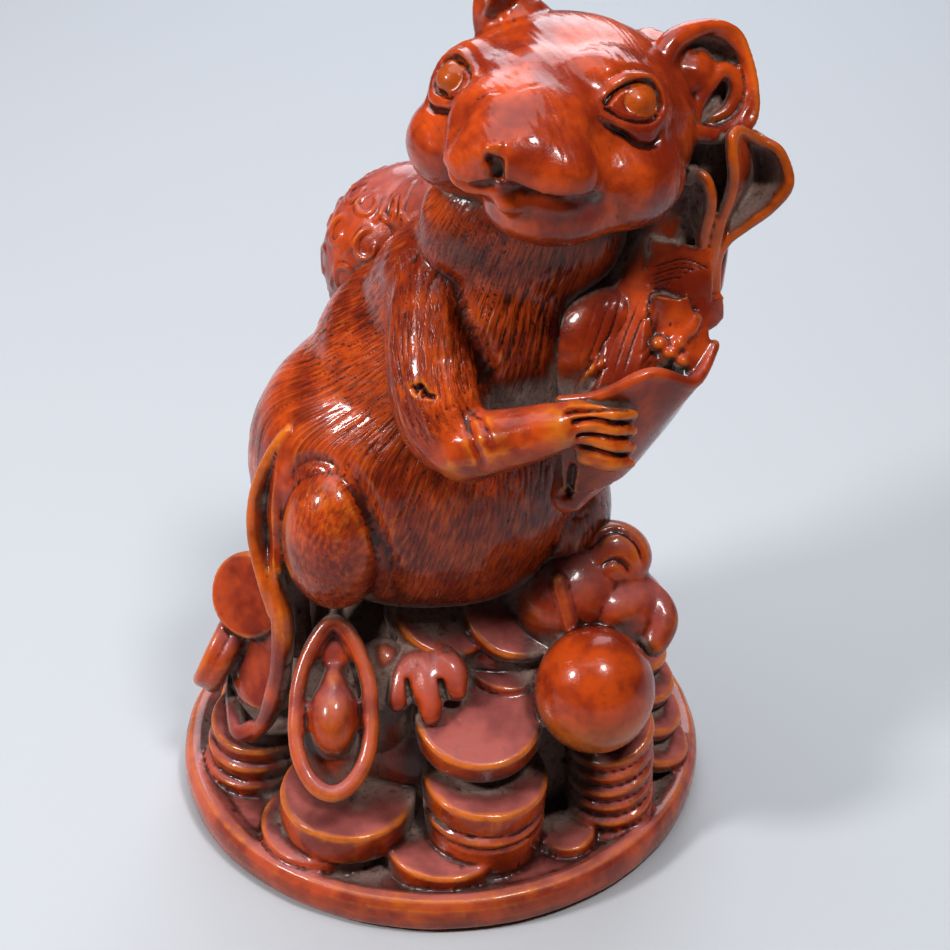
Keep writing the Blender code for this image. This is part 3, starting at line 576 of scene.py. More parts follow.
def carveHead(obj):
    # everything here is in the head's own frame, the nose towards -Y
    carveAll(obj, [
        (((-2.8, -14.6, 5.4), (-3.9, -15.3, 4.2), (-4.7, -16.2, 2.4), (-4.9, -16.6, 0.2)), 2, 0.5, 0.3),
        (((7, -10.8, 4.6), (7.7, -11.8, 3.4), (8.3, -12.2, 1.2), (8.5, -12, -1.4)), 2.2, 0.5, 0.3),
    ], headHome)
    crack = ((-3.8, -14.3, 5.3), (-2.6, -14.7, 5.6), (-1.7, -14.3, 6.2), (-0.5, -14.4, 6.3))
    carveAll(obj, [
        (mouth[0], 1.6, 1.7, 0.3),
        (((3.4, -17.2, -2.6), (5.8, -16.2, -2.7), (7.3, -14.8, -2.4), (8.4, -12.7, -2)), 1.2, 0.9, 0.3),
        (mouth[1], 1, 0.9, 0.15),
        (((-0.1, -19.2, 1.6), (1, -19.1, 1.3), (1.9, -18.8, 1.5)), 0.8, 1.1, 0.2),
        (mouth[2], 0.95, 1.7, 0.1),
        (((-0.3, -19.2, 2.4), (0.6, -19.2, 2.8), (1.8, -18.6, 3.2)), 0.8, -0.35, 0.3),
        (((8.6, -11, -1.4), (9.2, -9.8, -2.6), (9, -9, -3.8)), 1, 0.3, 0.3),
        (crack, 0.25, 0.3, 0.15),
        (((0.6, -14, 6.6), (1.5, -13.2, 7), (2.2, -12.5, 7.1)), 0.22, 0.2, 0.2),
    ], headHome)


eyeLines = {  # in the eye's own frame, across towards the ear and up; 1 is the right eye
    1: {
        "upper": (
            (-3.4, 0.5), (-2.5, 1.2), (-1.5, 1.8), (0.1, 2.3),
            (1.4, 2.3), (2.1, 1.7), (2.3, 0.6), (2, -0.3),
        ),
        "lower": ((-3.4, 0.4), (-2.7, -0.1), (-1.7, -0.7), (-0.3, -1.1), (1, -1), (2, -0.4)),
        "lid": ((-3.8, 1.2), (-2, 2.5), (0.2, 3.2), (1.9, 3.2), (3.1, 2.1), (3.3, 0.4)),
        "crease": ((-4, 1.8), (-2.4, 3.1), (-0.2, 4.1), (2.2, 4.2), (3.8, 3.2)),
        "bag": ((-3.6, -0.5), (-2.3, -1.4), (-0.4, -2), (1.4, -1.9), (2.8, -1.1)),
        "fold": (
            (-4, -0.8), (-3.2, -1.6), (-2.1, -2.3), (-0.2, -3.1),
            (1.5, -3.1), (2.6, -2.6), (3.2, -1.5),
        ),
        "ball": (0.3, 0.65),
        "sunk": 1.65,
    },
    -1: {
        "upper": ((-4, 0.2), (-2.6, 1.1), (-1.2, 1.7), (0.2, 2), (1.6, 1.7), (2.2, 0.7)),
        "lower": ((-4, 0), (-2.4, -0.8), (-0.8, -1.3), (0.6, -1.4), (1.8, -0.7), (2.2, 0.3)),
        "lid": ((-4.2, 1.1), (-2.4, 2), (-0.6, 2.7), (1.2, 2.7), (2.7, 1.7)),
        "crease": ((-4.4, 2), (-2.4, 3), (-0.2, 3.6), (2, 3.4), (3.4, 2.3)),
        "bag": ((-4.4, -0.8), (-2.6, -1.7), (-0.6, -2.2), (1.2, -2.1), (2.6, -1.2)),
        "fold": ((-4.8, -1.5), (-2.8, -2.6), (-0.4, -3.1), (1.6, -2.9), (3, -1.9)),
        "ball": (0.3, 0.2),
        "sunk": 1.2,
    },
}


eyeCuts = (  # line, width, depth, taper: first what rises, then what is cut
    (("lid", 0.9, -0.1, 0.3), ("crease", 0.8, 0.25, 0.3), ("bag", 0.8, -0.12, 0.3)),
    (("upper", 0.45, 0.8, 0.06), ("lower", 0.38, 0.55, 0.06), ("fold", 0.55, 0.55, 0.25)),
)


def eyeLine(side, name):
    return [(s, h, 0) for s, h in eyeLines[side][name]]


def eyeMiddle(side):
    return (*eyeLines[side]["ball"], -eyeLines[side]["sunk"])


def carveEyes(obj):
    for side in (1, -1):
        s, h = eyeLines[side]["ball"]
        press(obj, (s - 0.5, h, 0), (3.7, 2.4, 3.4), 1.2, eyeHome(side))
    size = [head["eyeRadius"]] * 3
    eyes = [ball(eyeMiddle(side), size, home=eyeHome(side)) for side in (1, -1)]
    made = fuse(obj.name, [obj] + eyes, head["fine"], 1)
    for side in (1, -1):
        for cuts in eyeCuts:
            carveAll(made, [(eyeLine(side, name), *cut) for name, *cut in cuts], eyeHome(side))
    press(made, (5.7, -7.3, 8.2), (3.6, 2.6, 2.6), -0.6, headHome)  # the brow over the eye
    return made


def makeHead():
    skull = fuse("skull", headForms(), head["coarse"], 12)
    made = fuse("ratHead", [skull] + earForms(), head["fine"], 4)
    carveHead(made)
    made = carveEyes(made)
    handMade(made, head["uneven"], 70)
    spots, facing = readSkin(made)
    ear = np.linalg.norm(spots - (26, -4.6, 86.6), axis=1)
    grain = hairCuts(spots[:, 0] + 0.5 * spots[:, 1], spots[:, 2], 0.5, 1.4, 61) * rise(ear, 5, 7)
    writeSkin(made, spots - facing * (0.035 * grain)[:, None])
    return made


cabbage = {"leaf": 1.1, "edge": 0.6, "fine": 0.2, "most": 150000, "uneven": 0.05}


def cabbageForms():
    heart = (
        (13.2, -16.4, 48.5), (15.6, -14.8, 53), (18.4, -12.4, 58.2), (19.6, -7.6, 64),
        (22.4, -3.6, 70), (25, -2.6, 77), (26, -3, 81),
    )
    lip = (
        (12, -18.5, 60.7), (15.7, -19.6, 61.9), (20.4, -18.4, 63.5), (24.6, -16.4, 61.4), (26.8, -13, 63.4),
    )
    low = ((12.8, -17.6, 50), (14, -18.2, 50.3), (16, -17.8, 50.6), (18, -16.4, 51), (20, -13.6, 51.5))
    belly = ((12.3, -18.2, 55.5), (15, -19, 56), (18.4, -18.2, 56.4), (21.4, -16, 56.4), (23.6, -12.6, 56.4))
    return [
        rope(heart, (1.9, 3.8, 5.4, 5.4, 5, 4.2, 3)),
        ball((15.6, -10, 61), (5.6, 4.2, 7.4), (0, 20, 0), rings=20),
        sheet((low, belly, lip), 1.2),
        rope(lip, (0.5, 0.6, 0.7, 0.7, 0.6), steps=60),
    ]


def foldedLeafForms():
    behind = (
        ((19.4, -10.6, 65.4), (23.5, -11.6, 66.4), (26.4, -10.6, 67.4)),
        ((20.2, -9.4, 69), (23.8, -10.6, 69.6), (26.4, -10.2, 70)),
        ((20.8, -7.4, 72), (23.8, -8.8, 72), (26.2, -9.6, 72)),
    )
    lobe = ((21.2, -12.4, 65), (22.4, -13.2, 64.9), (24, -13.4, 65.2), (24.8, -12.8, 66.2))
    lobeTop = ((20.9, -11.4, 68.2), (21.8, -12.2, 68.4), (23, -12.4, 68.2), (23.8, -11.8, 68))
    back = (
        ((24.6, -12.8, 64.6), (26.2, -11.6, 64.4), (27.6, -9.8, 64.6)),
        ((25, -11.4, 67.4), (26.2, -10.6, 67.2), (27.4, -9.4, 67)),
    )
    corner = (
        ((24.2, -15.4, 61.6), (25.2, -14.6, 61.8), (26.4, -13.4, 62.8)),
        ((23.6, -13.4, 64.4), (24.8, -12.8, 64.6), (26, -12, 64.6)),
    )
    beads = (
        (21.4, -14.4, 64.4), (22.4, -14.8, 63.6), (23.2, -14.2, 64.4), (23.6, -15, 62.8), (22, -14.6, 62.9),
    )
    return [
        sheet(behind, 1.2),
        sheet((lobe, lobeTop), 1.2),
        sheet(back, 1.1),
        sheet(corner, 1.2),
        rope(lobe, (0.6, 0.8, 0.9, 0.7), steps=24),
        ball((23, -9, 65), (4, 4, 3.6), rings=20),
    ] + [ball(spot, (0.8, 0.8, 0.8), rings=10) for spot in beads]


tallLeaf = (
    ((26.4, -9.6, 66), (26.7, -9, 66), (27, -9.4, 66)),
    ((26.3, -9.5, 69.6), (26.7, -8.6, 69.8), (26.9, -9, 70.2)),
    ((26.6, -9.4, 72.3), (27.4, -7.6, 72), (27.8, -8.4, 72.2)),
    ((27, -9.3, 74.8), (28.4, -5.6, 73.6), (29.6, -7.7, 73.4)),
    ((27.6, -9.3, 76.8), (29.8, -3.8, 75), (31.9, -7.1, 75)),
    ((27.9, -9.3, 79.2), (31, -2.6, 76.8), (33.5, -6.5, 77.2)),
    ((27.6, -9.1, 81.4), (31, -2.4, 78.8), (32.6, -5.6, 79.9)),
    ((27.6, -8.2, 82.9), (29.6, -4.6, 81.6), (31, -5.2, 80.9)),
)
leafRims = (
    [row[0] for row in tallLeaf] + [(28.4, -7, 82.8), (29.4, -6, 82), (30.9, -5.2, 80.7)],
    [row[2] for row in tallLeaf],
    (
        (23.9, -8.2, 78.4), (24.5, -8.8, 79.3), (25.2, -9.3, 79.2), (25.8, -9.7, 77.9),
        (25.9, -9.8, 76.2), (25.6, -9.8, 74.4), (25.4, -9.6, 72.6),
    ),
)


def tallLeafForms():
    narrow = (
        ((23.4, -6, 71.5), (24.4, -7, 72), (25.2, -9, 72.6)),
        ((23.2, -5, 75.4), (24.6, -6.6, 75.6), (25.6, -9.2, 75.8)),
        ((23.4, -5.6, 79.4), (24.4, -7, 79.2), (25.4, -8.8, 78.6)),
    )
    inside = ((26.6, -6, 66), (27, -5.4, 71), (27.2, -4.6, 76), (27.4, -4.4, 80))
    return [
        sheet(tallLeaf, cabbage["leaf"]),
        sheet(narrow, 1),
        rope(inside, (1.6, 1.6, 1.4, 1), steps=20),
    ] + [rope(rim, [cabbage["edge"]] * len(rim), steps=60) for rim in leafRims]


def carveCabbage(obj):
    strokes = []
    for k in range(9):  # ribs over the leaf beside the chest
        x = 13.5 + 0.95 * k
        rib = ((x - 0.6, -17, 60.8 + 0.28 * k), (x + 1, -13, 64), (x + 2.6, -11, 68))
        strokes.append((rib, 0.3, 0.06 + 0.04 * (k % 3), 0.3))
    for k in range(10):  # fine strands on the back leaf
        z = 66.6 + 0.5 * k
        strand = ((20.4, -10, z - 1), (23.4, -10.6, z + 0.4), (26.6, -10, z - 0.4 - 0.1 * k))
        strokes.append((strand, 0.22, 0.1 + 0.05 * (k % 2), 0.2))
    for k in range(6):
        z = 72.6 + 1.2 * k
        strokes.append((((23.6, -8, z + 0.8), (25.4, -9, z)), 0.24, 0.2, 0.2))
    carveAll(obj, strokes + [
        (((12.4, -16, 60.2), (14, -15.6, 61.9), (16.4, -14.6, 63)), 0.9, -0.7, 0.35),
        (((12.6, -16.4, 60), (14.2, -16, 61.3), (16.6, -15, 62.2)), 0.4, 0.5, 0.3),
        (((13.4, -19, 54), (13, -18.8, 51), (12.9, -18.2, 49)), 0.7, 0.8, 0.2),
    ])


def makeCabbage():
    made = fuse("cabbage", cabbageForms() + foldedLeafForms() + tallLeafForms(), cabbage["fine"], 2)
    carveCabbage(made)
    handMade(made, cabbage["uneven"], 90)
    return made


sackShape = {
    "middle": (-2, 11, 60),
    "radii": (10.2, 8.4, 10.6),
    "scrolls": 11,  # in each row
    "rows": (-0.45, 0, 0.45, 0.9),  # the angle of each row above the middle
    "fine": 0.22,
    "most": 110000,
    "uneven": 0.14,
}


def onSack(around, up):  # a point on the sack at two angles
    middle, radii = sackShape["middle"], sackShape["radii"]
    turn = math.cos(up)
    way = (turn * math.sin(around), -turn * math.cos(around), math.sin(up))
    return tuple(m + r * w for m, r, w in zip(middle, radii, way))


def makeSack():
    forms = [
        ball(sackShape["middle"], sackShape["radii"], (0, 14, 0)),
        ball((2, 7, 67), (7, 6, 5), rings=20),
    ]
    made = fuse("sack", forms, sackShape["fine"], 6)
    strokes = []
    for row, up in enumerate(sackShape["rows"]):
        flatter = max(math.cos(up), 0.4)
        for k in range(sackShape["scrolls"]):
            around = math.tau * (k + 0.5 * (row % 2)) / sackShape["scrolls"]
            scroll = []
            for n in range(11):
                t = 0.55 * n + 0.8 * row
                size = 0.20 * (1 - 0.07 * n)
                scroll.append(onSack(around + size * math.cos(t) / flatter, up + size * math.sin(t)))
            strokes.append((scroll, 0.55, -0.22, 0.1))
            stem = [onSack(around + 0.25 + 0.05 * n, up - 0.2 + 0.1 * n) for n in range(5)]
            strokes.append((stem, 0.45, -0.18, 0.2))
    carveAll(made, strokes, steps=30)
    handMade(made, sackShape["uneven"], 110)
    return made


pearl = {"middle": (16.7, -15, 22.2), "radii": (6.4, 6.4, 7), "skin": 0.03}
base = {"radius": 30, "depthShare": 0.97, "rim": 4.4, "floor": 3.2, "rimWidth": 1.8}
treasure = {
    "fine": 0.26,
    "most": 198000,
    "uneven": 0.09,
    # how many coins, how far out, how high, how far they lean
    "backRings": ((6, 20.6, 5.4, 6), (6, 19.4, 9.6, 20), (5, 18.2, 14.2, 34), (5, 16.2, 19.4, 44)),
    "coins": (  # middle of the top, radius, thickness, turn, rounding of the edge
        ((-12.6, -16.9, 5.6), 7, 2.8, (2, -2, 0)),
        ((-9.8, -16.9, 9.8), 7.4, 4.1, (3, 3, 0)),
        ((0.6, -19.6, 5.8), 6.7, 2.8, (3, 3, 0)),
        ((5, -17.6, 7.8), 6.6, 4.8, (2, 3, 0)),
        ((5, -17.6, 9), 6.65, 0.9, (2, 3, 0), 0.25),
        ((5.2, -17.2, 12.6), 6.8, 3.1, (3, 4, 0)),
        ((4.5, -15.3, 19.5), 6.9, 3.6, (18, 3, 0)),
        ((14, -17.6, 4.4), 3.2, 1.5, (3, -4, 0)),
        ((-21.2, -2.8, 25.4), 4.9, 1.8, (50, -46, 0)),
        ((-19.2, -7, 18.6), 4.9, 2, (34, -52, 0)),
        ((-20.2, -6, 18.2), 4.9, 1.4, (32, -55, 0)),
        ((-26, 0.2, 16.9), 5.5, 2, (-10, -66, 0), 0.7),
        ((-24.8, -0.3, 16.6), 5.5, 2, (-8, -63, 0), 0.7),
        ((0.8, -7, 27), 5.9, 2.1, (20, 17, 0)),
        ((8.6, -6.8, 26.8), 5.9, 1.9, (26, 12, 0)),
        ((7.4, -8.8, 21.7), 4.7, 1.4, (12, 8, 0)),
    ),
}


def makeFoot():
    edge, top, ground = base["radius"], base["rim"], base["floor"]
    inner = edge - base["rimWidth"]
    profile = (
        (0, 0), (edge - 0.9, 0), (edge - 0.2, 0.7), (edge, 2), (edge - 0.1, 3.4), (edge - 0.7, top),
        (inner, top), (inner - 1.6, ground), (0, ground),
    )
    mesh = bpy.data.meshes.new("foot")
    mesh.from_pydata([(x, 0, z) for x, z in profile], [(k, k + 1) for k in range(len(profile) - 1)], [])
    foot = added("foot", mesh)
    selectOnly([foot])
    switchTo("EDIT")
    bpy.ops.mesh.select_all(action="SELECT")
    bpy.ops.mesh.spin(steps=128, angle=math.tau, axis=(0, 0, 1))
    bpy.ops.mesh.select_all(action="SELECT")
    bpy.ops.mesh.remove_doubles(threshold=0.001)
    bpy.ops.mesh.normals_make_consistent()
    switchTo("OBJECT")
    foot.scale = (1, base["depthShare"], 1)
    return foot


def bigIngotForms():
    home = frameAt((-10.9, -17.2, 21.6), (46, 0, 0))
    edge = []
    for k in range(49):
        a = math.tau * k / 48
        point = max(math.cos(a), 0) ** 2
        blunt = 1 + 0.22 * max(-math.cos(a), 0) * abs(math.sin(a))
        across = 3.9 * math.sin(a) * (1 - 0.3 * point) * blunt
        edge.append((across, 9.0 * math.cos(a), 0.5 * math.cos(a) ** 4))
    return [
        ball((0, -0.2, -3.9), (4.5, 8.9, 3.4), home=home),
        ball((0, 6.4, -1.5), (2.7, 2.6, 1.6), home=home, rings=24),
        rope(edge, [0.95] * 49, home, 96),
        ball((0, -1, -0.8), (2.7, 4.2, 3.6), home=home),
        ball((0, 1.2, -0.9), (1.6, 3.5, 3), home=home),
    ]


def smallIngotForms():
    rim = (
        (13.8, -7.6, 30.4), (16.4, -5.4, 30.6), (19.2, -4.6, 29.8), (22, -4.8, 28.4),
        (23.8, -6, 26.8), (24.2, -7.6, 25.4), (23.4, -9.4, 23.8),
    )
    strap = ((12.8, -8.6, 32), (13.4, -9.6, 30.2), (14, -10.6, 28.2), (14.4, -11.2, 26.4))
    return [
        ball((17.8, -4.8, 25.6), (7.2, 5.4, 5)),
        ball((17.6, -7.2, 27.4), (4.6, 3.2, 2.7), (28, 0, -8)),
        rope(rim, (1, 1, 1, 1.2, 1.7, 1.9, 1.5), steps=60),
        rope(strap, (0.9, 1, 1, 0.9), steps=30),
        ball((18.9, -3.2, 31.4), (4.4, 3.4, 3.9), (0, 20, 0)),
        ball((17.6, -4.2, 31), (3.6, 3, 3)),
    ]


def coinForms():
    plan = list(treasure["coins"])
    for k in range(6):  # the stack under the pearl
        spot = (18.9 - 0.05 * k, -13.6 + 0.5 * k, 4.9 + 1.75 * k)
        plan.append((spot, 4.9 + 0.1 * (k % 2), 1.35, (14, -10 - k, 0), 0.3))
    plan += [((-20.8 + 0.4 * k, -5.2 + 0.5 * k, 5.4 + 2.2 * k), 6.2, 1.9, (6, -4, 0)) for k in range(3)]
    plan += [((23.2 - 0.8 * k, -4.0 + 2.0 * k, 7.5 + 3.0 * k), 6, 1.8, (8, 22, 20)) for k in range(5)]
    for level, (count, reach, height, lean) in enumerate(treasure["backRings"]):
        for k in range(count):
            a = math.radians(12 + 156 * (k + 0.5 * (level % 2)) / (count - 1))
            spot = (reach * math.cos(a), reach * math.sin(a), height + 0.7 * (k % 2))
            plan.append((spot, 6.2, 2.2, (-lean * math.sin(a), lean * math.cos(a), 0)))
    return [coin(*row) for row in plan]


def heapForms():
    return [
        ball((0, 2, 4), (20.5, 19, 22.5)),
        ball((4.8, -12.6, 10), (5.6, 6, 4.4), rings=20),
        ball((4.6, -13.4, 13.6), (5.9, 5.9, 2.6), rings=20),
        ball((5, -5, 22), (9, 6, 4), rings=20),
        ball((-5.8, -11, 17.5), (4.2, 4.2, 8), rings=20),
        rope(((18.6, -12.6, 3), (18.6, -10, 15)), (4, 4), steps=10),
        ball(pearl["middle"], pearl["radii"], rings=48),
        rope(((-20.5, -4, 3), (-19.5, -2, 10)), (5, 5), steps=8),
        ball((-16, 0.5, 18), (5.2, 8, 9), rings=20),
        ball((-18, 2.5, 22.5), (3.2, 5, 5), rings=20),
        ball((14, -3, 27), (7, 8, 7), rings=20),
    ]


def carveTreasure(obj):
    swirl = ((16.2, -5, 32.6), (18, -4, 34), (19.6, -3.8, 34.2), (21.2, -4.4, 32.9), (21.8, -5.2, 30.9))
    inner = ((17.2, -6.2, 31.9), (18.6, -5.8, 32.6), (19.8, -5.9, 32.3), (20.6, -6.2, 31))
    carveAll(obj, [(swirl, 0.8, 0.5, 0.2), (inner, 0.7, 0.4, 0.2)])


def pearlGap(spots):  # how far each point is from the skin of the pearl, as a share of its radius
    return np.abs(np.linalg.norm((spots - pearl["middle"]) / pearl["radii"], axis=1) - 1)


def makeTreasure():
    ingots = [fuse("bigIngot", bigIngotForms(), 0.3, 3), fuse("smallIngot", smallIngotForms(), 0.35, 7)]
    forms = [makeFoot()] + heapForms() + coinForms() + ingots
    made = fuse("treasure", forms, treasure["fine"], 2)
    carveTreasure(made)
    spots, _ = readSkin(made)
    spots[:, 2] = np.maximum(spots[:, 2], 0)
    writeSkin(made, spots)
    onPearl = pearlGap(spots) < pearl["skin"]
    handMade(made, treasure["uneven"], 130)
    worn, _ = readSkin(made)
    worn[onPearl] = spots[onPearl]
    worn[spots[:, 2] < 0.05] = spots[spots[:, 2] < 0.05]
    writeSkin(made, worn)
    return made


def thinOut(obj, most):
    obj.data.calc_loop_triangles()
    count = len(obj.data.loop_triangles)
    if count > most:
        selectOnly([obj])
        applied(obj, "DECIMATE", ratio=most / count)


def dropSpecks(obj):
    # the fusing can leave a closed crumb loose beside the skin
    selectOnly([obj])
    switchTo("EDIT")
    bpy.ops.mesh.select_mode(type="VERT")
    bpy.ops.mesh.select_all(action="DESELECT")
    switchTo("OBJECT")
    farthest = max(obj.data.vertices, key=lambda point: point.co.x)
    farthest.select = True
    switchTo("EDIT")
    bpy.ops.mesh.select_linked()
    bpy.ops.mesh.select_all(action="INVERT")
    bpy.ops.mesh.delete(type="VERT")
    switchTo("OBJECT")


wearAndPaintedLight = {
    "rays": 22,
    "reach": 14.0,  # wood that shuts a point in is looked for this far away
    "every": 7,  # one point in seven is tested
    "under": 0.5,  # how shut in a ray counts that meets nothing on its way down: this paints shade on what faces down and forward
    "rounds": (6, 3, 14),  # evening of the hollows, of the fine cuts and of the broad ones
    "cut": 0.045,  # the depths at which a cut, an edge and a groove count in full
    "edge": 0.16,
    "groove": 0.14,
    "dustAndSheen": {"ratBody": 0.5, "ratHead": 0.1, "cabbage": 0.6, "sack": 0.9, "treasure": 1.0},
}


def edgesOf(obj):
    pairs = np.empty(len(obj.data.edges) * 2, np.int32)
    obj.data.edges.foreach_get("vertices", pairs)
    return pairs.reshape(-1, 2)


def evened(values, pairs, rounds):  # each point's value shared with its neighbours
    count = len(values)
    number = np.bincount(pairs.ravel(), minlength=count)[:, None]
    for _ in range(rounds):
        total = np.zeros_like(values)
        for axis in range(values.shape[1]):
            total[:, axis] = np.bincount(pairs[:, 0], values[pairs[:, 1], axis], count)
            total[:, axis] += np.bincount(pairs[:, 1], values[pairs[:, 0], axis], count)
        values = 0.5 * values + 0.5 * total / number
    return values


def shadeAndGrimeLines(name):  # (frame, points, width, how dark and dusty) for folds given painted shade and dust: the mouth, the nose notch, the eye lines, and a painted shadow across the throat
    if name == "ratBody":
        # a painted shadow across the throat, under the chin
        return [(identity, ((2.0, -12.0, 73.0), (7.0, -14.5, 71.5), (12.0, -13.0, 72.5)), 6.5, 0.5)]
    if name != "ratHead":
        return []
    # painted shade and dust in the mouth lines and the nose notch
    found = [(headHome, mouth[0], 1.9, 0.75), (headHome, mouth[1], 1.1, 0.6), (headHome, mouth[2], 1.1, 0.8)]
    # painted shade and dust along the eye folds and the upper lids
    for side in (1, -1):
        found.append((eyeHome(side), eyeLine(side, "fold"), 0.9, 0.6))
        found.append((eyeHome(side), eyeLine(side, "upper"), 0.5, 0.75))
    return found


def wornLines(name):  # the same for the ridges that fingers keep bright
    if name == "ratHead":
        return [(earHome, earRim[4:10], 0.8, 0.8), (earHome, earHook, 1.0, 0.8)]
    if name == "ratBody":
        ridge = [row[1] for row in tail["rows"][:6]]
        outer = [row[0] for row in tail["rows"][4:]]
        return [(identity, ridge, 2.2, 0.9), (identity, outer, 1.1, 0.9)]
    if name == "cabbage":
        return [(identity, rim, 1.0, 1.0) for rim in leafRims]
    return []


def rayFan():  # directions spread evenly over the half space above a point
    golden = math.pi * (3 - math.sqrt(5))
    fan = []
    for k in range(wearAndPaintedLight["rays"]):
        up = math.sqrt((k + 0.5) / wearAndPaintedLight["rays"])
        flat = math.sqrt(1 - up * up)
        fan.append((flat * math.cos(golden * k), flat * math.sin(golden * k), up))
    return np.array(fan)


def measureDepth(pieces, skins):  # how shut in some of the points are, and a lookup to find them by
    tree = treeOf(pieces)
    fan = rayFan()
    tested, depths = [], []
    for spots, facing in skins:
        for p, n in zip(spots[:: wearAndPaintedLight["every"]], facing[:: wearAndPaintedLight["every"]]):
            side = np.cross(n, (0, 0, 1) if abs(n[2]) < 0.9 else (1, 0, 0))
            side /= max(np.linalg.norm(side), 1e-9)
            rays = fan @ np.array([side, np.cross(n, side), n])
            start = Vector(p + 0.35 * n)
            shut = 0
            for ray in rays:
                hit = tree.ray_cast(start, ray, wearAndPaintedLight["reach"])[3]
                if hit is not None:
                    shut += 1 - 0.5 * hit / wearAndPaintedLight["reach"]
                elif ray[2] < -0.1:
                    shut += wearAndPaintedLight["under"]
            tested.append(p)
            depths.append(shut / len(rays))
    lookup = KDTree(len(tested))
    for k, p in enumerate(tested):
        lookup.insert(p, k)
    lookup.balance()
    return np.array(depths), lookup


def markEyes(spots, hollow, cut, groove, edge):  # keeps the balls clean and the lids darker than the brow
    for side in (1, -1):
        middle = eyeHome(side) @ Vector(eyeMiddle(side))
        away = np.linalg.norm(spots - middle, axis=1)
        onBall = np.abs(away - head["eyeRadius"]) < 0.16
        edge[onBall], hollow[onBall] = 0.35, 0.22
        cut[onBall], groove[onBall] = 0.5 * cut[onBall], 0.0
        edge = np.where(onBall, edge, edge * (0.35 + 0.65 * rise(away, 3.0, 6.0)))
    return edge


def markWearAndPaintedLight(pieces):
    # leaves four marks on each point: how deep it lies, in a cut, on an edge, and how far it faces the sky.
    # The depth drives painted shade and dust, and facing the sky a dust film with a painted sheen
    skins = [readSkin(piece) for piece in pieces]
    depths, lookup = measureDepth(pieces, skins)
    for piece, (spots, facing) in zip(pieces, skins):
        pairs = edgesOf(piece)
        hollow = np.array([depths[lookup.find(p)[1]] for p in spots])[:, None]
        hollow = evened(hollow, pairs, wearAndPaintedLight["rounds"][0])[:, 0]
        shifts = [evened(spots, pairs, rounds) - spots for rounds in wearAndPaintedLight["rounds"][1:]]
        fine, broad = (np.sum(shift * facing, axis=1) for shift in shifts)
        cut = np.clip(fine / wearAndPaintedLight["cut"], 0, 1)
        edge = np.clip((-broad - wearAndPaintedLight["cut"]) / wearAndPaintedLight["edge"], 0, 1)
        groove = np.clip(broad / wearAndPaintedLight["groove"], 0, 1)
        for mark, lines in ((hollow, shadeAndGrimeLines(piece.name)), (edge, wornLines(piece.name))):
            for home, line, width, amount in lines:
                gap, _ = alongLine(spots, lineArray([home @ Vector(p) for p in line]))
                mark[:] = np.maximum(mark, amount * falloff(gap / width))
        if piece.name == "ratHead":
            edge = markEyes(spots, hollow, cut, groove, edge)
        skyward = np.clip(facing[:, 2], 0, 1)
        dustAndSheen = skyward * wearAndPaintedLight["dustAndSheen"][piece.name]
        if piece.name == "treasure":
            onPearl = pearlGap(spots) < pearl["skin"]
            dustAndSheen[onPearl] = 0
            # painted glow: the pearl is given amber on its underside, more the further it faces down
            edge = np.where(onPearl, 0.55 * rise(-facing[:, 2], -0.5, 0.4), 0.85 * edge)
        if piece.name == "ratBody":  # the foot gets the same dust film and painted sheen as the coins round it
            dustAndSheen = np.maximum(dustAndSheen, skyward * falloff((spots[:, 2] - 24) / 4))
            edge = edge * rise(spots[:, 2], 24, 28)
        marks = np.stack([hollow, np.maximum(cut, 0.8 * groove), edge, dustAndSheen], axis=1)
        layer = piece.data.attributes.new("wearAndPaintedLight", "FLOAT_COLOR", "POINT")
        layer.data.foreach_set("color", marks.astype(np.float32).ravel())


finish = {
    "lit": (0.50, 0.056, 0.006, 1),
    "deep": (0.21, 0.017, 0.004, 1),
    "amber": (0.66, 0.16, 0.010, 1),  # where handling has worn the stain thin, and a painted glow on the pearl's underside
    # near black: painted shade in hollows, on undersides and in fur grooves, and the dark put into fine cuts
    "cut": (0.020, 0.0035, 0.002, 1),
    "dust": (0.25, 0.165, 0.135, 1),
    "dustAndSheen": (0.36, 0.16, 0.17, 1),  # a dull film on what faces up: partly dust, partly a painted sheen of the bright light above
    "roughness": 0.25,
    "shine": 0.18,
    "coat": 0.35,
    "coatRoughness": 0.1,
    "clouds": (6.0, 1.1, 0.32),  # sizes of the broad, the flecked and the speckled noise
    "hairPitch": 0.36,
    "hairLength": 2.6,
    "bump": 0.35,
    "bumpDepth": 0.08,
}


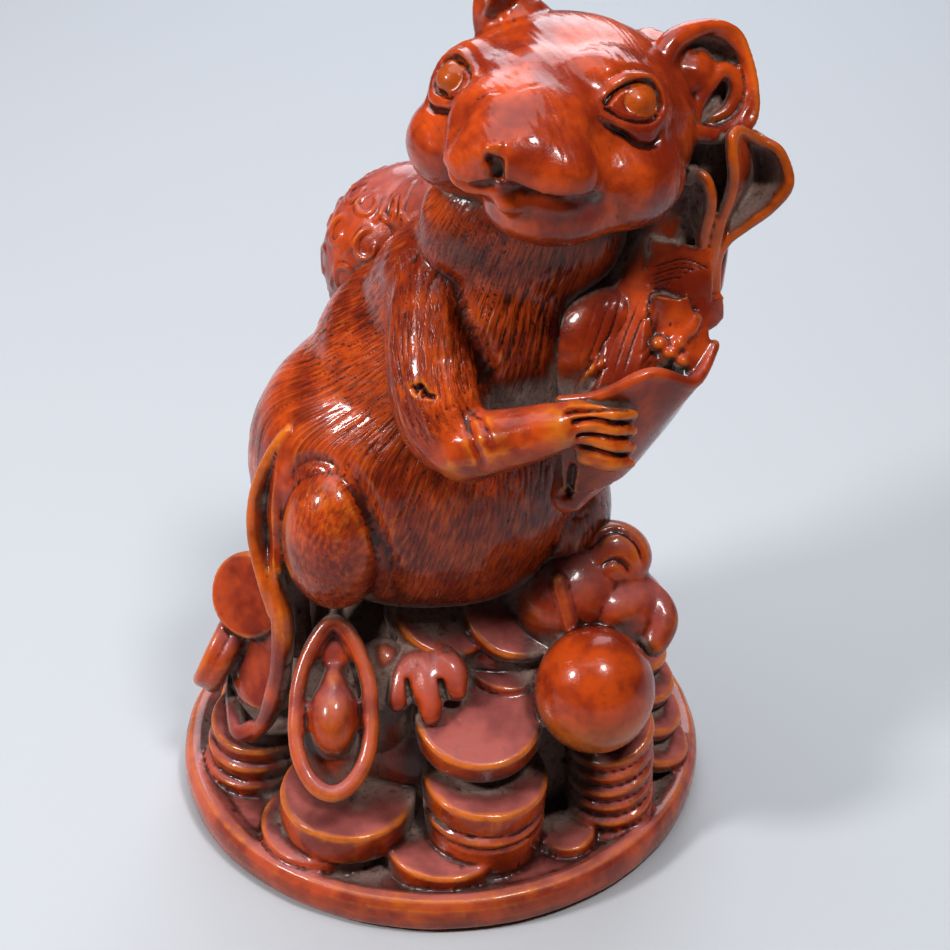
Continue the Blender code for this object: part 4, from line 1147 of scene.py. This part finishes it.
def boxwood():
    wood = bpy.data.materials.new("waxedBoxwood")
    wood.use_nodes = True
    nodes, links = wood.node_tree.nodes, wood.node_tree.links
    shader = nodes["Principled BSDF"]

    def node(kind, **values):
        made = nodes.new("ShaderNode" + kind)
        for key, value in values.items():
            setattr(made, key, value)
        return made

    def give(value, socket):  # a plain value is set, and the output of a node is linked
        if isinstance(value, (tuple, float)):
            socket.default_value = value
        else:
            links.new(value, socket)

    def mixed(share, first, second):
        mix = node("Mix", data_type="RGBA")
        for value, index in ((share, 0), (first, 6), (second, 7)):
            give(value, mix.inputs[index])
        return mix.outputs[2]

    def ranged(value, *limits):  # from low to high, to 0 to 1 or to the two that follow
        ramp = node("MapRange", interpolation_type="SMOOTHSTEP")
        give(value, ramp.inputs[0])
        for index, limit in enumerate(limits, 1):
            ramp.inputs[index].default_value = limit
        return ramp.outputs[0]

    def combined(kind, first, second):
        made = node("Math", operation=kind)
        give(first, made.inputs[0])
        give(second, made.inputs[1])
        return made.outputs[0]

    def times(first, second):
        return combined("MULTIPLY", first, second)

    def noise(place, scale, detail):
        made = node("TexNoise")
        give(place, made.inputs["Vector"])
        give(scale, made.inputs["Scale"])
        give(detail, made.inputs["Detail"])
        return made

    place = node("TexCoord").outputs["Object"]
    clouds = []
    for size, detail in zip(finish["clouds"], (3.0, 4.0, 3.0)):
        cloud = noise(place, 1 / (size * mm), detail)
        give(0.6, cloud.inputs["Roughness"])
        clouds.append(cloud.outputs[0])
    broad, fleck, speck = clouds

    marked = node("Attribute", attribute_name="wearAndPaintedLight")
    marks = node("SeparateColor")
    give(marked.outputs["Color"], marks.inputs[0])
    hollow, cut, edge = marks.outputs[:3]
    skyward = marked.outputs["Alpha"]

    coat = node("Attribute", attribute_name="coat").outputs["Vector"]
    parts = node("SeparateXYZ")
    give(coat, parts.inputs[0])
    stretched = node("Mapping")
    give(coat, stretched.inputs["Vector"])
    give((1 / finish["hairPitch"], 1 / finish["hairLength"], 0), stretched.inputs["Scale"])
    hair = noise(stretched.outputs[0], 1.0, 2.0).outputs[0]
    hairCut = times(ranged(hair, 0.34, 0.56, 1, 0), parts.outputs[2])
    hairTip = times(ranged(hair, 0.54, 0.7), parts.outputs[2])

    # painted sheen: what faces up gets a mauve-grey film, partly dust
    dustAndSheenMask = times(ranged(skyward, 0.3, 1), ranged(broad, 0.3, 0.7, 0.55, 1))
    worn = times(ranged(edge, 0.1, 0.75), ranged(fleck, 0.25, 0.6, 0.5, 1))
    grime = times(ranged(hollow, 0.42, 0.68), ranged(fleck, 0.25, 0.5))
    grime = times(grime, ranged(speck, 0.2, 0.6, 0.4, 1))
    colour = mixed(ranged(broad, 0.36, 0.64), finish["deep"], finish["lit"])
    for where, strength, name in (
        (ranged(fleck, 0.48, 0.72), 0.45, "deep"),
        (dustAndSheenMask, 0.55, "dustAndSheen"),
        (worn, 0.8, "amber"),
        (hairTip, 0.3, "amber"),
        # painted shade: dark lines in the fur grooves
        (hairCut, 0.5, "cut"),
        (ranged(cut, 0.12, 0.8), 0.9, "cut"),
        # painted shade: hollows, undersides and fronts darkened towards near black
        (ranged(hollow, 0.2, 0.62), 0.88, "cut"),
        (grime, 0.85, "dust"),
    ):
        colour = mixed(times(where, strength), colour, finish[name])
    give(colour, shader.inputs["Base Color"])

    rough = ranged(fleck, 0.3, 0.75, finish["roughness"] - 0.05, finish["roughness"] + 0.08)
    rough = combined("ADD", rough, times(grime, 0.4))
    rough = combined("ADD", rough, times(cut, 0.15))
    give(rough, shader.inputs["Roughness"])
    give(times(combined("SUBTRACT", 1.0, grime), finish["coat"]), shader.inputs["Coat Weight"])
    give(finish["coatRoughness"], shader.inputs["Coat Roughness"])
    give(finish["shine"], shader.inputs["Specular IOR Level"])

    bump = node("Bump")
    give(finish["bump"], bump.inputs["Strength"])
    give(finish["bumpDepth"] * mm, bump.inputs["Distance"])
    grain = combined("ADD", speck, times(fleck, 1.5))
    give(combined("SUBTRACT", grain, times(hairCut, 1.6)), bump.inputs["Height"])
    give(bump.outputs[0], shader.inputs["Normal"])
    return wood


def finishPiece(obj, wood):
    obj.data.transform(Matrix.Scale(mm, 4))
    selectOnly([obj])
    bpy.ops.object.shade_smooth()
    obj.data.materials.clear()
    obj.data.materials.append(wood)
    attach(obj, "root")
    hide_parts("rat_figurine")


studio = {
    "camera": (0.004, -0.178, 0.161),
    "tilt": 55.7,
    "lens": 76,
    "middle": (0.0, 0.0, 0.05),  # what the lights point at
    "floor": (0.44, 0.45, 0.47, 1),
    "sky": (0.78, 0.84, 1.0, 1),
    "skyStrength": 0.03,
    "lights": {  # direction, distance, size, power, colour
        "skyBehind": ((0.05, 0.80, 0.55), 0.45, 0.36, 1.4, (0.86, 0.92, 1.0)),
        "skyAbove": ((-0.15, 0.10, 0.98), 0.42, 0.40, 1.1, (0.92, 0.95, 1.0)),
        "keyLeft": ((-0.74, -0.34, 0.58), 0.42, 0.08, 1.4, (1, 1, 1)),
        "keyRight": ((0.29, -0.36, 0.88), 0.42, 0.08, 1.1, (1, 1, 1)),
    },
}


def addCamera():
    lens = bpy.data.cameras.new("camera")
    lens.lens = studio["lens"]
    lens.clip_start = 0.01
    eye = added("camera", lens)
    eye.location = studio["camera"]
    eye.rotation_euler = (math.radians(studio["tilt"]), 0, 0)
    bpy.context.scene.camera = eye


def softLight(name, direction, distance, size, power, colour):
    lamp = bpy.data.lights.new(name, "AREA")
    lamp.shape = "DISK"
    lamp.size = size
    lamp.energy = power
    lamp.color = colour
    holder = added(name, lamp)
    middle = Vector(studio["middle"])
    holder.location = middle + Vector(direction).normalized() * distance
    holder.rotation_euler = (middle - holder.location).to_track_quat("-Z", "Y").to_euler()


def addStudio():
    deselectAll()
    bpy.ops.mesh.primitive_plane_add(size=4, location=(0, 0, -0.0001))
    floor = bpy.context.object
    floor.name = "floor"
    bpy.ops.object.transform_apply()
    paper = bpy.data.materials.new("palePaper")
    paper.use_nodes = True
    shader = paper.node_tree.nodes["Principled BSDF"]
    shader.inputs["Base Color"].default_value = studio["floor"]
    shader.inputs["Roughness"].default_value = 0.8
    floor.data.materials.append(paper)
    for name, values in studio["lights"].items():
        softLight(name, *values)
    world = bpy.data.worlds.new("studio")
    world.use_nodes = True
    bpy.context.scene.world = world
    sky = world.node_tree.nodes["Background"]
    sky.inputs["Color"].default_value = studio["sky"]
    sky.inputs["Strength"].default_value = studio["skyStrength"]
    bpy.context.scene.view_settings.view_transform = "Standard"


plan = (
    (makeBody, body),
    (makeHead, head),
    (makeCabbage, cabbage),
    (makeSack, sackShape),
    (makeTreasure, treasure),
)
pieces = []
for make, values in plan:
    piece = make()
    print("made", piece.name, len(piece.data.polygons), "faces")
    thinOut(piece, values["most"])
    dropSpecks(piece)
    pieces.append(piece)
markCoat(pieces[0])
markWearAndPaintedLight(pieces)
print("marked the wear")
wood = boxwood()
for piece in pieces:
    finishPiece(piece, wood)
addCamera()
addStudio()
bpy.context.view_layer.update()
